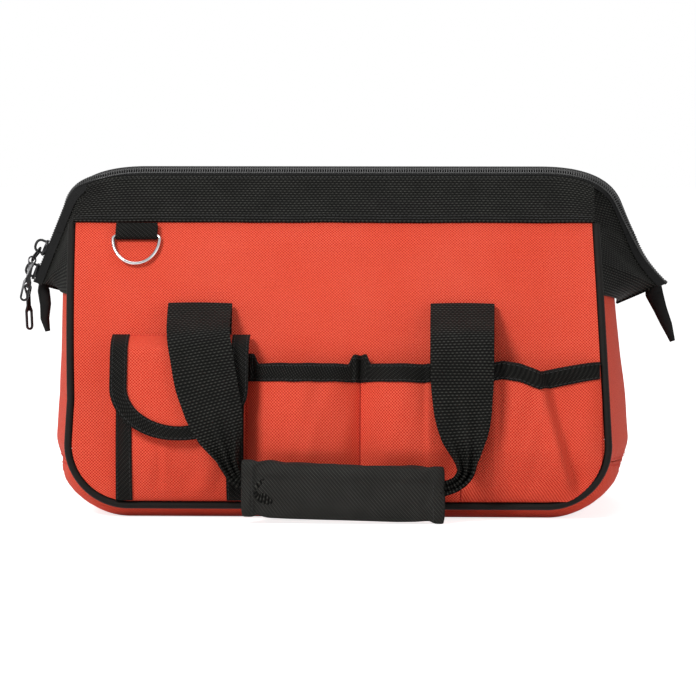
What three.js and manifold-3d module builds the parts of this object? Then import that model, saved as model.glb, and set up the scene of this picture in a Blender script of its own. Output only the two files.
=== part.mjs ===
// Zippered wide-mouth tool bag: cloth walls, webbing mouth band, hinged wire mouth frame, coil zipper
// with two sliders, bellows and flap pockets, carrying handles and D-rings.
// Millimetres, +Z up, the front wall faces -Y.
import * as THREE from "three";
import { mergeVertices } from "three/addons/utils/BufferGeometryUtils.js";
import Module from "manifold-3d";

const wasm = await Module();
wasm.setup();

// Driving dimensions of the body
const BASE_HALF_WIDTH = 160; // piping line, widest
const TOP_HALF_WIDTH = 153; // piping line at the mouth band
const BASE_HALF_DEPTH = 86; // piping line at the base
const RIM_HALF_DEPTH = 9; // cloth surface at the rim
const RIM_HEIGHT = 206; // centre of the zipper
const SEAM_HEIGHT = 8; // piping line under the front wall
const CORNER_RADIUS = 36; // lower corners of the front and back walls
const LEAN_START = 30; // the walls stand upright below this height
const WALL_CLOTH = 1.2; // coated polyester with its backing
const WEBBING = 1.6; // woven webbing
const TRIM = 0.8; // thin binding tape
const CLEARANCE = 0.3; // between pieces that are sewn together
const SEAT = 0.4; // between pieces that lie loose on each other
const PIPING_RADIUS = 2.2;

// Mouth band and ears
const BAND_LOWER = 172.5; // lower edge of the band
const BAND_UPPER = 199; // the band meets the zipper tape here
const PANEL_TUCK = 6; // how far the wall reaches up behind the band
const EAR_LOWER = 133; // the black cloth of the ears starts here
const GUSSET_BULGE = 13; // how far the end walls stand out at their fullest
const GUSSET_TOP_BULGE = 9;
const BASE_SEAM = 34; // the base cloth is sewn to the end walls here
const BOARD = { halfLength: 120, halfDepth: 60, corner: 12, thickness: 3 };

// Rim: the line that the zipper follows, seen from the front
const RIM_STRAIGHT = 120; // half length of the straight top
const RIM_CORNER_X = 160; // where the top and the leg would meet
const RIM_SHOULDER = [168.5, 185]; // the round corner ends here
const RIM_TIP = [188.5, 135.5]; // lower end of the zipper

// Mouth frame
const PIVOT_X = 172.6;
const PIVOT_HEIGHT = 146;
const WIRE_RADIUS = 1.6;
const WIRE_SIDE = [5.6, 8.2]; // the wire's distance from the middle plane, on the legs and at the top
const WIRE_DROP = [8.2, 5]; // and its distance below the zipper, likewise
const WIRE_LEG_FROM = 27; // the wire follows the rim from this far up its leg
const WIRE_FOOT = { out: 4.2, rise: 7 }; // its lower end, seen from the pivot
const LUG_THICKNESS = 1.4;
const LUG_RADIUS = 3.4;
const RIVET_RADIUS = 1.3;
const RIVET_HEAD = { radius: 2.8, thickness: 1.1 };

// Zipper
const COIL_HALF_WIDTH = 3.4;
const COIL_THICKNESS = 2.4;
const TOOTH_PITCH = 6;
const TOOTH_REACH = 1.1; // how far a tooth reaches past the middle
const TOOTH_GAP = 0.5; // between the two halves, across the chain
const TAPE_FLAT = 6.4; // the tape lies flat this far from the middle
const TAPE_OUT = [9.4, 15.7]; // its outer edge, on the legs and at the top
const TAPE_DROP = [5.4, 6.6]; // drops this far onto the ears and the band
const TAPE = 0.7;
const PARTING_ROOM = 2.3; // lets the mouth swing open past that part
const STUB_LENGTH = 34; // the part of the chain below the mouth's hinge line, from the tip up
const PARTING = 1.1; // half of the gap between the two sides of the open chain
const SLIDER_LENGTH = 10;
const SLIDER_HALF_WIDTH = 5.2;
const SLIDER_PLATE = 1.3;
const SLIDER_NECK = 0.8; // half thickness of the wedge between the two plates
const LOWER_SLIDER_AT = 6.2; // centre, measured up the leg from the tip
const UPPER_SLIDER_AT = 21.6;
const CROWN = { halfLength: 3.6, height: 5.2, wire: 0.8 };
const LINK = { length: 9.5, halfWidth: 2.6, corner: 1.3, wire: 0.75 };
const PULL = { length: 26, stem: 2.8, loop: 5.2, head: 2.7, eye: 1.85, thickness: 1.2 };

// Handles
const STRAP_WIDTH = 38;
const STRAP_CENTRES = [-82.5, 73.5];
const HANDLE_HEIGHT = 124.5; // the fold where the handle leaves the wall
const HANDLE_OFFSET = 3.9; // of that fold, out from the wall
const GRIP_LENGTH = 122;
const GRIP_HEIGHT = 37;
const GRIP_THICKNESS = 12;
const GRIP_CENTRE = [2, -110.5, 19.2];
const CORE_WIDTH = 19; // the webbing is folded in half inside the grip
const HANDLE_STEPS = 48;
const CORE_THICKNESS = 3.6;

// Pockets. The open ones stand side by side between seams.
const POCKET_CLOTH = 1;
const POCKET_FOOT = 11; // lower edge
const POCKET_TOP = 89.5;
const POCKET_DEPTH = 12;
const POCKET_SQUARE = 2.6; // higher values fill the corners more
const POCKET_GAP = 0.6; // between two pockets, over the seam
const FRONT_SEAMS = [-53.8, 13.3, 72.9, 156.3];
const BACK_SEAMS = [-156.3, -52, 52, 156.3];
const FRONT_POCKETS = ["front_pocket_centre_left", "front_pocket_centre_right", "front_pocket_end"];
const BACK_POCKETS = ["back_pocket_left", "back_pocket_middle", "back_pocket_right"];
const FLAP_POCKET = { left: -133, right: -55, top: 91, depth: POCKET_DEPTH, square: 6 };
const BINDING_HEIGHT = 9.4;
const SIDE_BINDING = 10.4;

// Flap over the left pocket
const FLAP_LEFT = -136;
const FLAP_RIGHT = -52.5;
const FLAP_TOP = 107;
const FLAP_FOOT = 47;
const FLAP_CORNER = 30;

// D-rings
const RING_X = -122.5;
const RING_WIRE = 1.25;
const RING_HALF_WIDTH = 13.6;
const RING_DROP = 14.5;
const RING_LIE = 4; // degrees that the ring leans onto the wall
const TAB_WIDTH = 23.4;
const TAB_LENGTH = 8;

// Colours
const CLOTH_RED = 0xe8331f;
const CLOTH_BLACK = 0x1b1b1a;
const PIPING_BLACK = 0x2a2725;
const STEEL = 0xb9bcc0;
const DARK_METAL = 0x2a2a2c;
const BOARD_BLACK = 0x202020;

const FRONT = -1;
const BACK = 1;
const LEFT = -1;
const RIGHT = 1;
const sideName = { [LEFT]: "left", [RIGHT]: "right" };
const faceName = { [FRONT]: "front", [BACK]: "back" };

const bag = new THREE.Group();
const V = (x, y, z) => new THREE.Vector3(x, y, z);
// Colour, roughness and metalness
const finishes = {
  red_cloth: [CLOTH_RED, 0.75, 0],
  webbing: [CLOTH_BLACK, 0.85, 0],
  piping: [PIPING_BLACK, 0.6, 0],
  steel: [STEEL, 0.25, 1],
  dark_metal: [DARK_METAL, 0.35, 0.9],
  board: [BOARD_BLACK, 0.8, 0],
};

function add(name, geometry, finish) {
  const [color, roughness, metalness] = finishes[finish];
  const mesh = new THREE.Mesh(geometry, new THREE.MeshStandardMaterial({ color, roughness, metalness }));
  mesh.name = name;
  bag.add(mesh);
  return mesh;
}

// Shape functions of the body
const rise = (z) => Math.max(0, (z - LEAN_START) / (RIM_HEIGHT - LEAN_START));
const halfDepth = (z) => RIM_HALF_DEPTH + (BASE_HALF_DEPTH - RIM_HALF_DEPTH) * (1 - rise(z) ** 2);

// Outward normal of the wall at a height, as [out, up]
function wallNormal(z) {
  const slope = halfDepth(z + 0.5) - halfDepth(z - 0.5);
  const length = Math.hypot(1, slope);
  return [1 / length, -slope / length];
}

// Distance from the middle plane at which the end cloth meets the piping
const seamDepth = (z) => halfDepth(z) - (PIPING_RADIUS + SEAT) / wallNormal(z)[0];

// A point at a distance outside the wall. face is FRONT or BACK.
function onWall(face, x, z, out) {
  const [ny, nz] = wallNormal(z);
  return V(x, face * (halfDepth(z) + out * ny), z + out * nz);
}

const sideLineAt = (z) => {
  const low = SEAM_HEIGHT + CORNER_RADIUS;
  const t = Math.max(0, (z - low) / (BAND_LOWER - low));
  return BASE_HALF_WIDTH + (TOP_HALF_WIDTH - BASE_HALF_WIDTH) * t;
};

// Half width of the wall at a height, inside its round lower corners and drawn in by an inset
function wallHalfWidth(z, inset = 0) {
  const below = SEAM_HEIGHT + CORNER_RADIUS - z;
  if (below <= 0) return sideLineAt(z) - inset;
  const span = Math.sqrt(Math.max(0, (CORNER_RADIUS - inset) ** 2 - below ** 2));
  return BASE_HALF_WIDTH - CORNER_RADIUS + span;
}

// The seam line round a wall, from the upper left corner down, along the base and up
function wallOutline(top) {
  const path = new THREE.Path();
  const corner = BASE_HALF_WIDTH - CORNER_RADIUS;
  const low = SEAM_HEIGHT + CORNER_RADIUS;
  path.moveTo(-sideLineAt(top), top);
  path.lineTo(-BASE_HALF_WIDTH, low);
  path.absarc(-corner, low, CORNER_RADIUS, Math.PI, 1.5 * Math.PI);
  path.lineTo(corner, SEAM_HEIGHT);
  path.absarc(corner, low, CORNER_RADIUS, 1.5 * Math.PI, 2 * Math.PI);
  path.lineTo(sideLineAt(top), top);
  return path;
}

// A closed body from two matching grids of points, one for each face
function shellFromGrids(outer, inner) {
  const rows = outer.length;
  const columns = outer[0].length;
  const points = [...outer.flat(), ...inner.flat()];
  const index = [];
  const at = (layer, i, j) => layer * rows * columns + i * columns + j;
  const quad = (a, b, c, d) => index.push(a, b, c, a, c, d);
  for (let i = 0; i < rows - 1; i++)
    for (let j = 0; j < columns - 1; j++) {
      quad(at(0, i, j), at(0, i, j + 1), at(0, i + 1, j + 1), at(0, i + 1, j));
      quad(at(1, i, j), at(1, i + 1, j), at(1, i + 1, j + 1), at(1, i, j + 1));
    }
  for (let j = 0; j < columns - 1; j++) {
    quad(at(0, 0, j + 1), at(0, 0, j), at(1, 0, j), at(1, 0, j + 1));
    quad(at(0, rows - 1, j), at(0, rows - 1, j + 1), at(1, rows - 1, j + 1), at(1, rows - 1, j));
  }
  for (let i = 0; i < rows - 1; i++) {
    quad(at(0, i, 0), at(0, i + 1, 0), at(1, i + 1, 0), at(1, i, 0));
    quad(at(0, i + 1, columns - 1), at(0, i, columns - 1), at(1, i, columns - 1), at(1, i + 1, columns - 1));
  }
  const geometry = new THREE.BufferGeometry().setFromPoints(points);
  geometry.setIndex(index);
  return outwards(geometry);
}

// Settings of a plain extrusion, without a bevel
const extrusion = (depth, curveSegments) => ({ depth, curveSegments, bevelEnabled: false });

// Turns a closed geometry's faces outwards
function outwards(geometry) {
  const p = geometry.getAttribute("position");
  const index = geometry.getIndex();
  const [a, b, c] = [V(), V(), V()];
  let volume = 0;
  for (let i = 0; i < index.count; i += 3) {
    a.fromBufferAttribute(p, index.getX(i));
    b.fromBufferAttribute(p, index.getX(i + 1));
    c.fromBufferAttribute(p, index.getX(i + 2));
    volume += a.dot(b.cross(c));
  }
  if (volume < 0)
    for (let i = 0; i < index.count; i += 3) {
      const kept = index.getX(i);
      index.setX(i, index.getX(i + 1));
      index.setX(i + 1, kept);
    }
  geometry.computeVertexNormals();
  return geometry;
}

// Cloth of one thickness: place(u, v, depth) gives a point, depth 0 on the inner face and 1 on the outer
function cloth(place, across, along) {
  const grid = (depth) =>
    Array.from({ length: along + 1 }, (_, i) =>
      Array.from({ length: across + 1 }, (_, j) => place(j / across, i / along, depth)),
    );
  return shellFromGrids(grid(1), grid(0));
}

// A bar along a list of frames { at, side, up }, each with its own outline of [side, up] points
function bar(frames, outlineAt, closed = false) {
  const rings = frames.map((f, i) =>
    outlineAt(i / (frames.length - 1), i).map(([s, u]) =>
      f.at.clone().addScaledVector(f.side, s).addScaledVector(f.up, u),
    ),
  );
  const count = rings[0].length;
  const points = rings.flat();
  const index = [];
  const steps = closed ? rings.length : rings.length - 1;
  for (let i = 0; i < steps; i++)
    for (let j = 0; j < count; j++) {
      const [a, b] = [i * count + j, i * count + ((j + 1) % count)];
      const next = ((i + 1) % rings.length) * count;
      const [c, d] = [next + ((j + 1) % count), next + j];
      index.push(a, b, c, a, c, d);
    }
  if (!closed) {
    const flat = outlineAt(0, 0).map(([s, u]) => new THREE.Vector2(s, u));
    const turned = THREE.ShapeUtils.isClockWise(flat);
    const last = (rings.length - 1) * count;
    for (const [a, b, c] of THREE.ShapeUtils.triangulateShape(flat, [])) {
      const [p, q] = turned ? [c, b] : [b, c];
      index.push(a, q, p, last + a, last + p, last + q);
    }
  }
  const geometry = new THREE.BufferGeometry().setFromPoints(points);
  geometry.setIndex(index);
  return outwards(geometry);
}

function circle(radius, sides) {
  return Array.from({ length: sides }, (_, i) => {
    const a = ((i + 0.5) * 2 * Math.PI) / sides;
    return [radius * Math.cos(a), radius * Math.sin(a)];
  });
}

// Frames along points, with side kept square to the path and near a hint
function framesAlong(points, hint, closed = false) {
  const n = points.length;
  return points.map((at, i) => {
    const before = closed ? points[(i - 1 + n) % n] : points[Math.max(0, i - 1)];
    const after = closed ? points[(i + 1) % n] : points[Math.min(n - 1, i + 1)];
    const along = after.clone().sub(before).normalize();
    const wanted = typeof hint === "function" ? hint(i / (n - 1)) : hint;
    const side = wanted.clone().addScaledVector(along, -wanted.dot(along)).normalize();
    return { at, side, up: along.clone().cross(side) };
  });
}

const solidOf = (geometry) => {
  const g = geometry.index ? geometry.clone() : mergeVertices(geometry.clone());
  g.deleteAttribute("normal");
  g.deleteAttribute("uv");
  const merged = mergeVertices(g, 1e-4);
  return new wasm.Manifold(
    new wasm.Mesh({
      numProp: 3,
      vertProperties: Float32Array.from(merged.getAttribute("position").array),
      triVerts: Uint32Array.from(merged.getIndex().array),
    }),
  );
};

function geometryOf(solid) {
  const mesh = solid.getMesh();
  const geometry = new THREE.BufferGeometry();
  geometry.setAttribute("position", new THREE.BufferAttribute(Float32Array.from(mesh.vertProperties), 3));
  geometry.setIndex(new THREE.BufferAttribute(Uint32Array.from(mesh.triVerts), 1));
  return geometry;
}

const box = (low, high) => {
  const size = high.clone().sub(low);
  const centre = low.clone().add(high).multiplyScalar(0.5);
  return new THREE.BoxGeometry(size.x, size.y, size.z).translate(centre.x, centre.y, centre.z);
};

// A cylinder along X
const pinAlongX = (radius, from, to, y, z) =>
  new THREE.CylinderGeometry(radius, radius, to - from, 12)
    .rotateZ(Math.PI / 2)
    .translate((from + to) / 2, y, z);

// Walls: one cloth panel each side, tucked up behind the mouth band
function wallPanel(face) {
  const foot = SEAM_HEIGHT + PIPING_RADIUS + CLEARANCE;
  const top = BAND_LOWER + PANEL_TUCK;
  const place = (u, v, depth) => {
    // Rows lie closer together in the round lower corners
    const z = foot + (top - foot) * (v < 0.5 ? v * v * 1.2 + v * 0.4 : v);
    const half = wallHalfWidth(z, PIPING_RADIUS + CLEARANCE);
    return onWall(face, half * (2 * u - 1), z, depth * WALL_CLOTH);
  };
  return cloth(place, 10, 10);
}

// How far the end and base cloth stands out from the seam line, for a height and a place across from -1 to 1
function gussetBulge(z, across) {
  const low = SEAM_HEIGHT + CORNER_RADIUS;
  const up = THREE.MathUtils.clamp((z - SEAM_HEIGHT) / (BASE_SEAM - SEAM_HEIGHT), 0, 1);
  const fall = THREE.MathUtils.clamp((z - low) / (EAR_LOWER - low), 0, 1);
  const fullest = SEAM_HEIGHT + (GUSSET_BULGE - SEAM_HEIGHT) * up ** 1.5;
  const reach = fullest + (GUSSET_TOP_BULGE - GUSSET_BULGE) * fall;
  const roundness = 14 - 12 * up;
  const flatness = 1.2 - 0.08 * up;
  return Math.min(reach, flatness * reach * (1 - Math.abs(across) ** roundness));
}

// A point on the end and base cloth: s runs along the seam line, across from -1 at the front to 1 at the back
function onGusset(path, s, across, depth) {
  const p = path.getPointAt(s);
  const t = path.getTangentAt(s);
  const out = [t.y, -t.x];
  const half = seamDepth(p.y);
  const b = gussetBulge(p.y, across) - (1 - depth) * WALL_CLOTH;
  return V(p.x + out[0] * b, across * half, p.y + out[1] * b);
}

// The share of the seam line's length at a height on one side
function shareAt(path, side, z) {
  let low = side === LEFT ? 0 : 0.5;
  let high = side === LEFT ? 0.5 : 1;
  for (let i = 0; i < 40; i++) {
    const middle = (low + high) / 2;
    const above = path.getPointAt(middle).y > z;
    if (above === (side === LEFT)) low = middle;
    else high = middle;
  }
  return (low + high) / 2;
}

// The end and base cloth bends most near its seams
const GUSSET_COLUMNS = [-1, -0.95, -0.8, -0.45, 0, 0.45, 0.8, 0.95, 1];
const gussetColumn = (u) => GUSSET_COLUMNS[Math.round(u * (GUSSET_COLUMNS.length - 1))];
const gussetPath = wallOutline(EAR_LOWER);
const seamShare = {
  [LEFT]: shareAt(gussetPath, LEFT, BASE_SEAM),
  [RIGHT]: shareAt(gussetPath, RIGHT, BASE_SEAM),
};
const SEAM_GAP = CLEARANCE / gussetPath.getLength();

function endGusset(side) {
  const [from, to] =
    side === LEFT ? [0, seamShare[LEFT] - SEAM_GAP / 2] : [seamShare[RIGHT] + SEAM_GAP / 2, 1];
  const place = (u, v, depth) => onGusset(gussetPath, from + (to - from) * v, gussetColumn(u), depth);
  return cloth(place, GUSSET_COLUMNS.length - 1, 6);
}

function basePanel() {
  const from = seamShare[LEFT] + SEAM_GAP / 2;
  const to = seamShare[RIGHT] - SEAM_GAP / 2;
  // More rows in the round corners than along the flat base
  const rows = [0, 0.045, 0.09, 0.135, 0.18, 0.5, 0.82, 0.865, 0.91, 0.955, 1];
  const row = (v) => from + (to - from) * rows[Math.round(v * (rows.length - 1))];
  const place = (u, v, depth) => onGusset(gussetPath, row(v), gussetColumn(u), depth);
  return cloth(place, GUSSET_COLUMNS.length - 1, rows.length - 1);
}

function piping(face) {
  const path = wallOutline(BAND_LOWER - CLEARANCE);
  const shares = [];
  const corner = shareAt(path, LEFT, SEAM_HEIGHT + CORNER_RADIUS);
  const flat = (path.getLength() / 2 - (BASE_HALF_WIDTH - CORNER_RADIUS)) / path.getLength();
  for (let i = 0; i < 6; i++) shares.push((corner * i) / 6);
  for (let i = 0; i < 6; i++) shares.push(corner + ((flat - corner) * i) / 6);
  for (let i = 0; i < 3; i++) shares.push(flat + ((0.5 - flat) * i) / 3);
  const all = [...shares, 0.5, ...shares.map((s) => 1 - s).reverse()];
  const points = all.map((s) => {
    const p = path.getPointAt(s);
    return V(p.x, face * halfDepth(p.y), p.y);
  });
  return bar(framesAlong(points, V(0, 1, 0)), () => circle(PIPING_RADIUS, 6));
}

function baseBoard() {
  const shape = new THREE.Shape();
  const { halfLength: l, halfDepth: d, corner: r, thickness } = BOARD;
  shape.moveTo(-l + r, -d);
  shape.lineTo(l - r, -d);
  shape.absarc(l - r, -d + r, r, -Math.PI / 2, 0);
  shape.lineTo(l, d - r);
  shape.absarc(l - r, d - r, r, 0, Math.PI / 2);
  shape.lineTo(-l + r, d);
  shape.absarc(-l + r, d - r, r, Math.PI / 2, Math.PI);
  shape.lineTo(-l, -d + r);
  shape.absarc(-l + r, -d + r, r, Math.PI, 1.5 * Math.PI);
  const geometry = new THREE.ExtrudeGeometry(shape, extrusion(thickness, 4));
  return geometry.translate(0, 0, WALL_CLOTH + CLEARANCE);
}

add("front_panel", wallPanel(FRONT), "red_cloth");
add("back_panel", wallPanel(BACK), "red_cloth");
add("left_gusset", endGusset(LEFT), "red_cloth");
add("right_gusset", endGusset(RIGHT), "red_cloth");
add("base_panel", basePanel(), "red_cloth");
add("base_board", baseBoard(), "board");
add("front_piping", piping(FRONT), "piping");
add("back_piping", piping(BACK), "piping");

// The line of the zipper and the mouth frame
function rimPath() {
  const path = new THREE.Path();
  path.moveTo(-RIM_TIP[0], RIM_TIP[1]);
  path.lineTo(-RIM_SHOULDER[0], RIM_SHOULDER[1]);
  path.quadraticCurveTo(-RIM_CORNER_X, RIM_HEIGHT, -RIM_STRAIGHT, RIM_HEIGHT);
  path.lineTo(RIM_STRAIGHT, RIM_HEIGHT);
  path.quadraticCurveTo(RIM_CORNER_X, RIM_HEIGHT, RIM_SHOULDER[0], RIM_SHOULDER[1]);
  path.lineTo(RIM_TIP[0], RIM_TIP[1]);
  return path;
}
const rim = rimPath();
const rimLength = rim.getLength();
const legLength = Math.hypot(RIM_TIP[0] - RIM_SHOULDER[0], RIM_TIP[1] - RIM_SHOULDER[1]);
const legUp = (side) =>
  V(side * (RIM_SHOULDER[0] - RIM_TIP[0]), 0, RIM_SHOULDER[1] - RIM_TIP[1]).normalize();
const legOut = (side) => V(side * legUp(side).z, 0, Math.abs(legUp(side).x));

// A point near the rim: length along it, distance from the middle plane, and height above the zipper line
function atRim(length, y, out) {
  const s = THREE.MathUtils.clamp(length / rimLength, 0, 1);
  const p = rim.getPointAt(s);
  const t = rim.getTangentAt(s);
  return V(p.x - t.y * out, y, p.y + t.x * out);
}

const MOVING_FROM = STUB_LENGTH + PARTING_ROOM;
const MOVING_TO = rimLength - MOVING_FROM;

// Lengths along the rim with more steps in the round corners
function rimSteps(from, to, straightSteps, cornerSteps) {
  const curve = new THREE.QuadraticBezierCurve(
    new THREE.Vector2(...RIM_SHOULDER),
    new THREE.Vector2(RIM_CORNER_X, RIM_HEIGHT),
    new THREE.Vector2(RIM_STRAIGHT, RIM_HEIGHT),
  );
  const corner = curve.getLength();
  const farLeg = rimLength - legLength;
  const marks = [from, legLength, legLength + corner, farLeg - corner, farLeg, to];
  const counts = [2, cornerSteps, straightSteps, cornerSteps, 2];
  const steps = [from];
  for (let k = 0; k < counts.length; k++)
    for (let i = 1; i <= counts[k]; i++) steps.push(marks[k] + ((marks[k + 1] - marks[k]) * i) / counts[k]);
  return steps;
}

// Share of the way from the legs of the rim to its straight top, 0 to 1
function topShare(length) {
  const along = Math.min(length, rimLength - length);
  return THREE.MathUtils.smoothstep(along, STUB_LENGTH, legLength + 24);
}
const tapeEdge = (length) => [
  THREE.MathUtils.lerp(...TAPE_OUT, topShare(length)),
  THREE.MathUtils.lerp(...TAPE_DROP, topShare(length)),
];

function zipTape(face) {
  const steps = rimSteps(MOVING_FROM, MOVING_TO, 2, 5);
  const frames = steps.map((length) => {
    const at = atRim(length, 0, 0);
    const up = atRim(length, 0, 1).sub(at);
    return { at, side: V(0, face, 0), up };
  });
  return bar(frames, (_, i) => {
    const [reach, drop] = tapeEdge(steps[i]);
    return [
      [COIL_HALF_WIDTH + CLEARANCE, TAPE / 2],
      [TAPE_FLAT, TAPE / 2],
      [reach, TAPE / 2 - drop],
      [reach - TAPE, -TAPE / 2 - drop],
      [TAPE_FLAT - TAPE / 2, -TAPE / 2],
      [COIL_HALF_WIDTH + CLEARANCE, -TAPE / 2],
    ];
  });
}

// One half of the zipper chain: a rail with teeth that reach between those of the other half
function zipCoil(face) {
  const steps = Math.round((MOVING_TO - MOVING_FROM) / TOOTH_PITCH);
  const pitch = (MOVING_TO - MOVING_FROM) / steps;
  const half = COIL_THICKNESS / 2;
  const first = face === FRONT ? 0 : 1;
  const grid = (out) =>
    Array.from({ length: 2 * steps + 1 }, (_, i) => {
      const length = MOVING_FROM + (i * pitch) / 2;
      const past = (i + first) % 2 === 0 ? -TOOTH_REACH - TOOTH_GAP : TOOTH_REACH;
      return [atRim(length, face * COIL_HALF_WIDTH, out), atRim(length, -face * past, out)];
    });
  return shellFromGrids(grid(half), grid(-half));
}

// The band's upper edge falls towards its ends, with the rim
const BAND_ROUND_FROM = 126;
const BAND_FALL = 13;
const bandTopAt = (x) => {
  const t = THREE.MathUtils.clamp((Math.abs(x) - BAND_ROUND_FROM) / (RIM_CORNER_X - BAND_ROUND_FROM), 0, 1.1);
  return BAND_UPPER - BAND_FALL * t * t;
};

// Half width of the mouth band at a height
const bandHalfWidth = (z) =>
  THREE.MathUtils.mapLinear(z, BAND_LOWER, BAND_UPPER, TOP_HALF_WIDTH - 1, RIM_SHOULDER[0] - 10);

// The mouth band: webbing between the walls and the zipper tape
function mouthBand(face) {
  const stops = [-1, -0.965, -0.925, -0.88, -0.83, 0, 0.83, 0.88, 0.925, 0.965, 1];
  const place = (u, v, depth) => {
    const share = stops[Math.round(u * (stops.length - 1))];
    const top = bandTopAt(share * RIM_CORNER_X);
    const z = BAND_LOWER + (top - BAND_LOWER) * v;
    return onWall(face, bandHalfWidth(z) * share, z, WALL_CLOTH + CLEARANCE + depth * WEBBING);
  };
  return cloth(place, stops.length - 1, 3);
}

// An ear: half of the cloth that folds outwards at each end of the mouth
function ear(face, side) {
  const foldAcross = (CLEARANCE / 2 + WEBBING * 0.6) / seamDepth(EAR_LOWER);
  const foot = EAR_LOWER + CLEARANCE + SEAT;
  const lower = (u) => {
    const across = 1 + (foldAcross - 1) * u;
    const x = sideLineAt(EAR_LOWER) + gussetBulge(EAR_LOWER, across);
    return V(side * x, face * across * seamDepth(EAR_LOWER), foot);
  };
  const wall = (v) => {
    const z = THREE.MathUtils.lerp(foot, BAND_UPPER - BAND_FALL - 0.5, v);
    const x = z < BAND_LOWER ? sideLineAt(z) : bandHalfWidth(z) + 1.2;
    return V(side * x, face * seamDepth(z), z);
  };
  const hem = (v) => {
    const length = THREE.MathUtils.lerp(1.5, legLength + 14, v);
    const [reach, drop] = tapeEdge(length);
    const p = atRim(side === LEFT ? length : rimLength - length, 0, -drop - SEAT);
    return V(p.x, face * (reach + CLEARANCE), p.z);
  };
  const fold = lower(1);
  // The outer edge first follows the fold to the tip, then the hem up to the top
  const outer = (v) => (v < 0.3 ? fold.clone().lerp(hem(0), v / 0.3) : hem((v - 0.3) / 0.7));
  const place = (u, v, depth) => {
    const bow = lower(u).sub(wall(0).lerp(fold, u));
    const p = wall(v).lerp(outer(v), u).addScaledVector(bow, (1 - v) ** 1.5);
    // The cloth's thickness turns from sideways at the foot to back and down at the top
    const turn = v ** 3;
    const inward = V(-side, -face * 0.75 * Math.max(u, turn), -0.7 * turn).normalize();
    return p.addScaledVector(inward, (1 - depth) * WEBBING);
  };
  return cloth(place, 5, 10);
}

// One half of the mouth frame: a bent wire with a flattened lug at each end
function frameWire(face) {
  const lugX = (side) => side * (PIVOT_X + (face === FRONT ? -1 : 1) * ((LUG_THICKNESS + CLEARANCE) / 2));
  const steps = rimSteps(WIRE_LEG_FROM, rimLength - WIRE_LEG_FROM, 2, 5);
  const points = steps.map((length) => {
    const away = THREE.MathUtils.lerp(...WIRE_SIDE, topShare(length));
    return atRim(length, face * away, -THREE.MathUtils.lerp(...WIRE_DROP, topShare(length)));
  });
  const foot = face * WIRE_FOOT.out;
  const end = (side) => V(lugX(side), foot, PIVOT_HEIGHT + WIRE_FOOT.rise);
  points.unshift(end(LEFT));
  points.push(end(RIGHT));
  let solid = solidOf(bar(framesAlong(points, V(0, 1, 0)), () => circle(WIRE_RADIUS, 6)));
  for (const side of [LEFT, RIGHT]) {
    const centre = lugX(side);
    const shape = new THREE.Shape();
    const top = WIRE_FOOT.rise + 1;
    const tilt = Math.atan2(top, foot);
    shape.absarc(0, PIVOT_HEIGHT, LUG_RADIUS, tilt + Math.PI / 2, tilt + 1.5 * Math.PI);
    shape.absarc(foot, PIVOT_HEIGHT + top, WIRE_RADIUS + 0.4, tilt - Math.PI / 2, tilt + Math.PI / 2);
    const hole = new THREE.Path();
    hole.absarc(0, PIVOT_HEIGHT, RIVET_RADIUS + CLEARANCE, 0, 2 * Math.PI, true);
    shape.holes.push(hole);
    const lug = new THREE.ExtrudeGeometry(shape, extrusion(LUG_THICKNESS, 5));
    // The outline is drawn in Y and Z and extruded along X
    lug.applyMatrix4(new THREE.Matrix4().makeBasis(V(0, 1, 0), V(0, 0, 1), V(1, 0, 0)));
    lug.translate(centre - LUG_THICKNESS / 2, 0, 0);
    solid = solid.add(solidOf(lug));
  }
  return geometryOf(solid);
}

function frameRivet(side) {
  const reach = LUG_THICKNESS + CLEARANCE * 1.5;
  const { radius, thickness } = RIVET_HEAD;
  const x = (d) => side * PIVOT_X + d;
  const parts = [
    pinAlongX(RIVET_RADIUS, x(-reach - thickness / 2), x(reach + thickness / 2), 0, PIVOT_HEIGHT),
    pinAlongX(radius, x(-reach - thickness), x(-reach), 0, PIVOT_HEIGHT),
    pinAlongX(radius, x(reach), x(reach + thickness), 0, PIVOT_HEIGHT),
  ];
  return geometryOf(parts.map(solidOf).reduce((a, b) => a.add(b)));
}

// The lower end of the zipper, below the point where the mouth parts: its sides stand apart for the sliders
function zipEnd(side) {
  const half = COIL_THICKNESS / 2;
  const thin = TAPE / 2;
  const [reach, drop] = [TAPE_OUT[0], TAPE_DROP[0]];
  const section = [
    [PARTING, half],
    [COIL_HALF_WIDTH, half],
    [COIL_HALF_WIDTH, thin],
    [TAPE_FLAT, thin],
    [reach, thin - drop],
    [reach - TAPE, -thin - drop],
    [TAPE_FLAT - thin, -thin],
    [COIL_HALF_WIDTH, -thin],
    [COIL_HALF_WIDTH, -half],
    [PARTING, -half],
  ];
  const frames = (from, to) =>
    [from, to].map((length) => ({
      at: atRim(side === LEFT ? length : rimLength - length, 0, 0),
      side: V(0, 1, 0),
      up: legOut(side),
    }));
  const start = 0.2;
  const stop = 1;
  const sectionOf = (sign) => section.map(([y, n]) => [sign * y, n]);
  const sideOf = (sign) => solidOf(bar(frames(start, STUB_LENGTH), () => sectionOf(sign)));
  const middle = PARTING + 0.4;
  const bridge = solidOf(
    bar(frames(start, start + stop), () => [
      [-middle, -half],
      [middle, -half],
      [middle, half],
      [-middle, half],
    ]),
  );
  return geometryOf(sideOf(1).add(sideOf(-1)).add(bridge));
}

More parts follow.
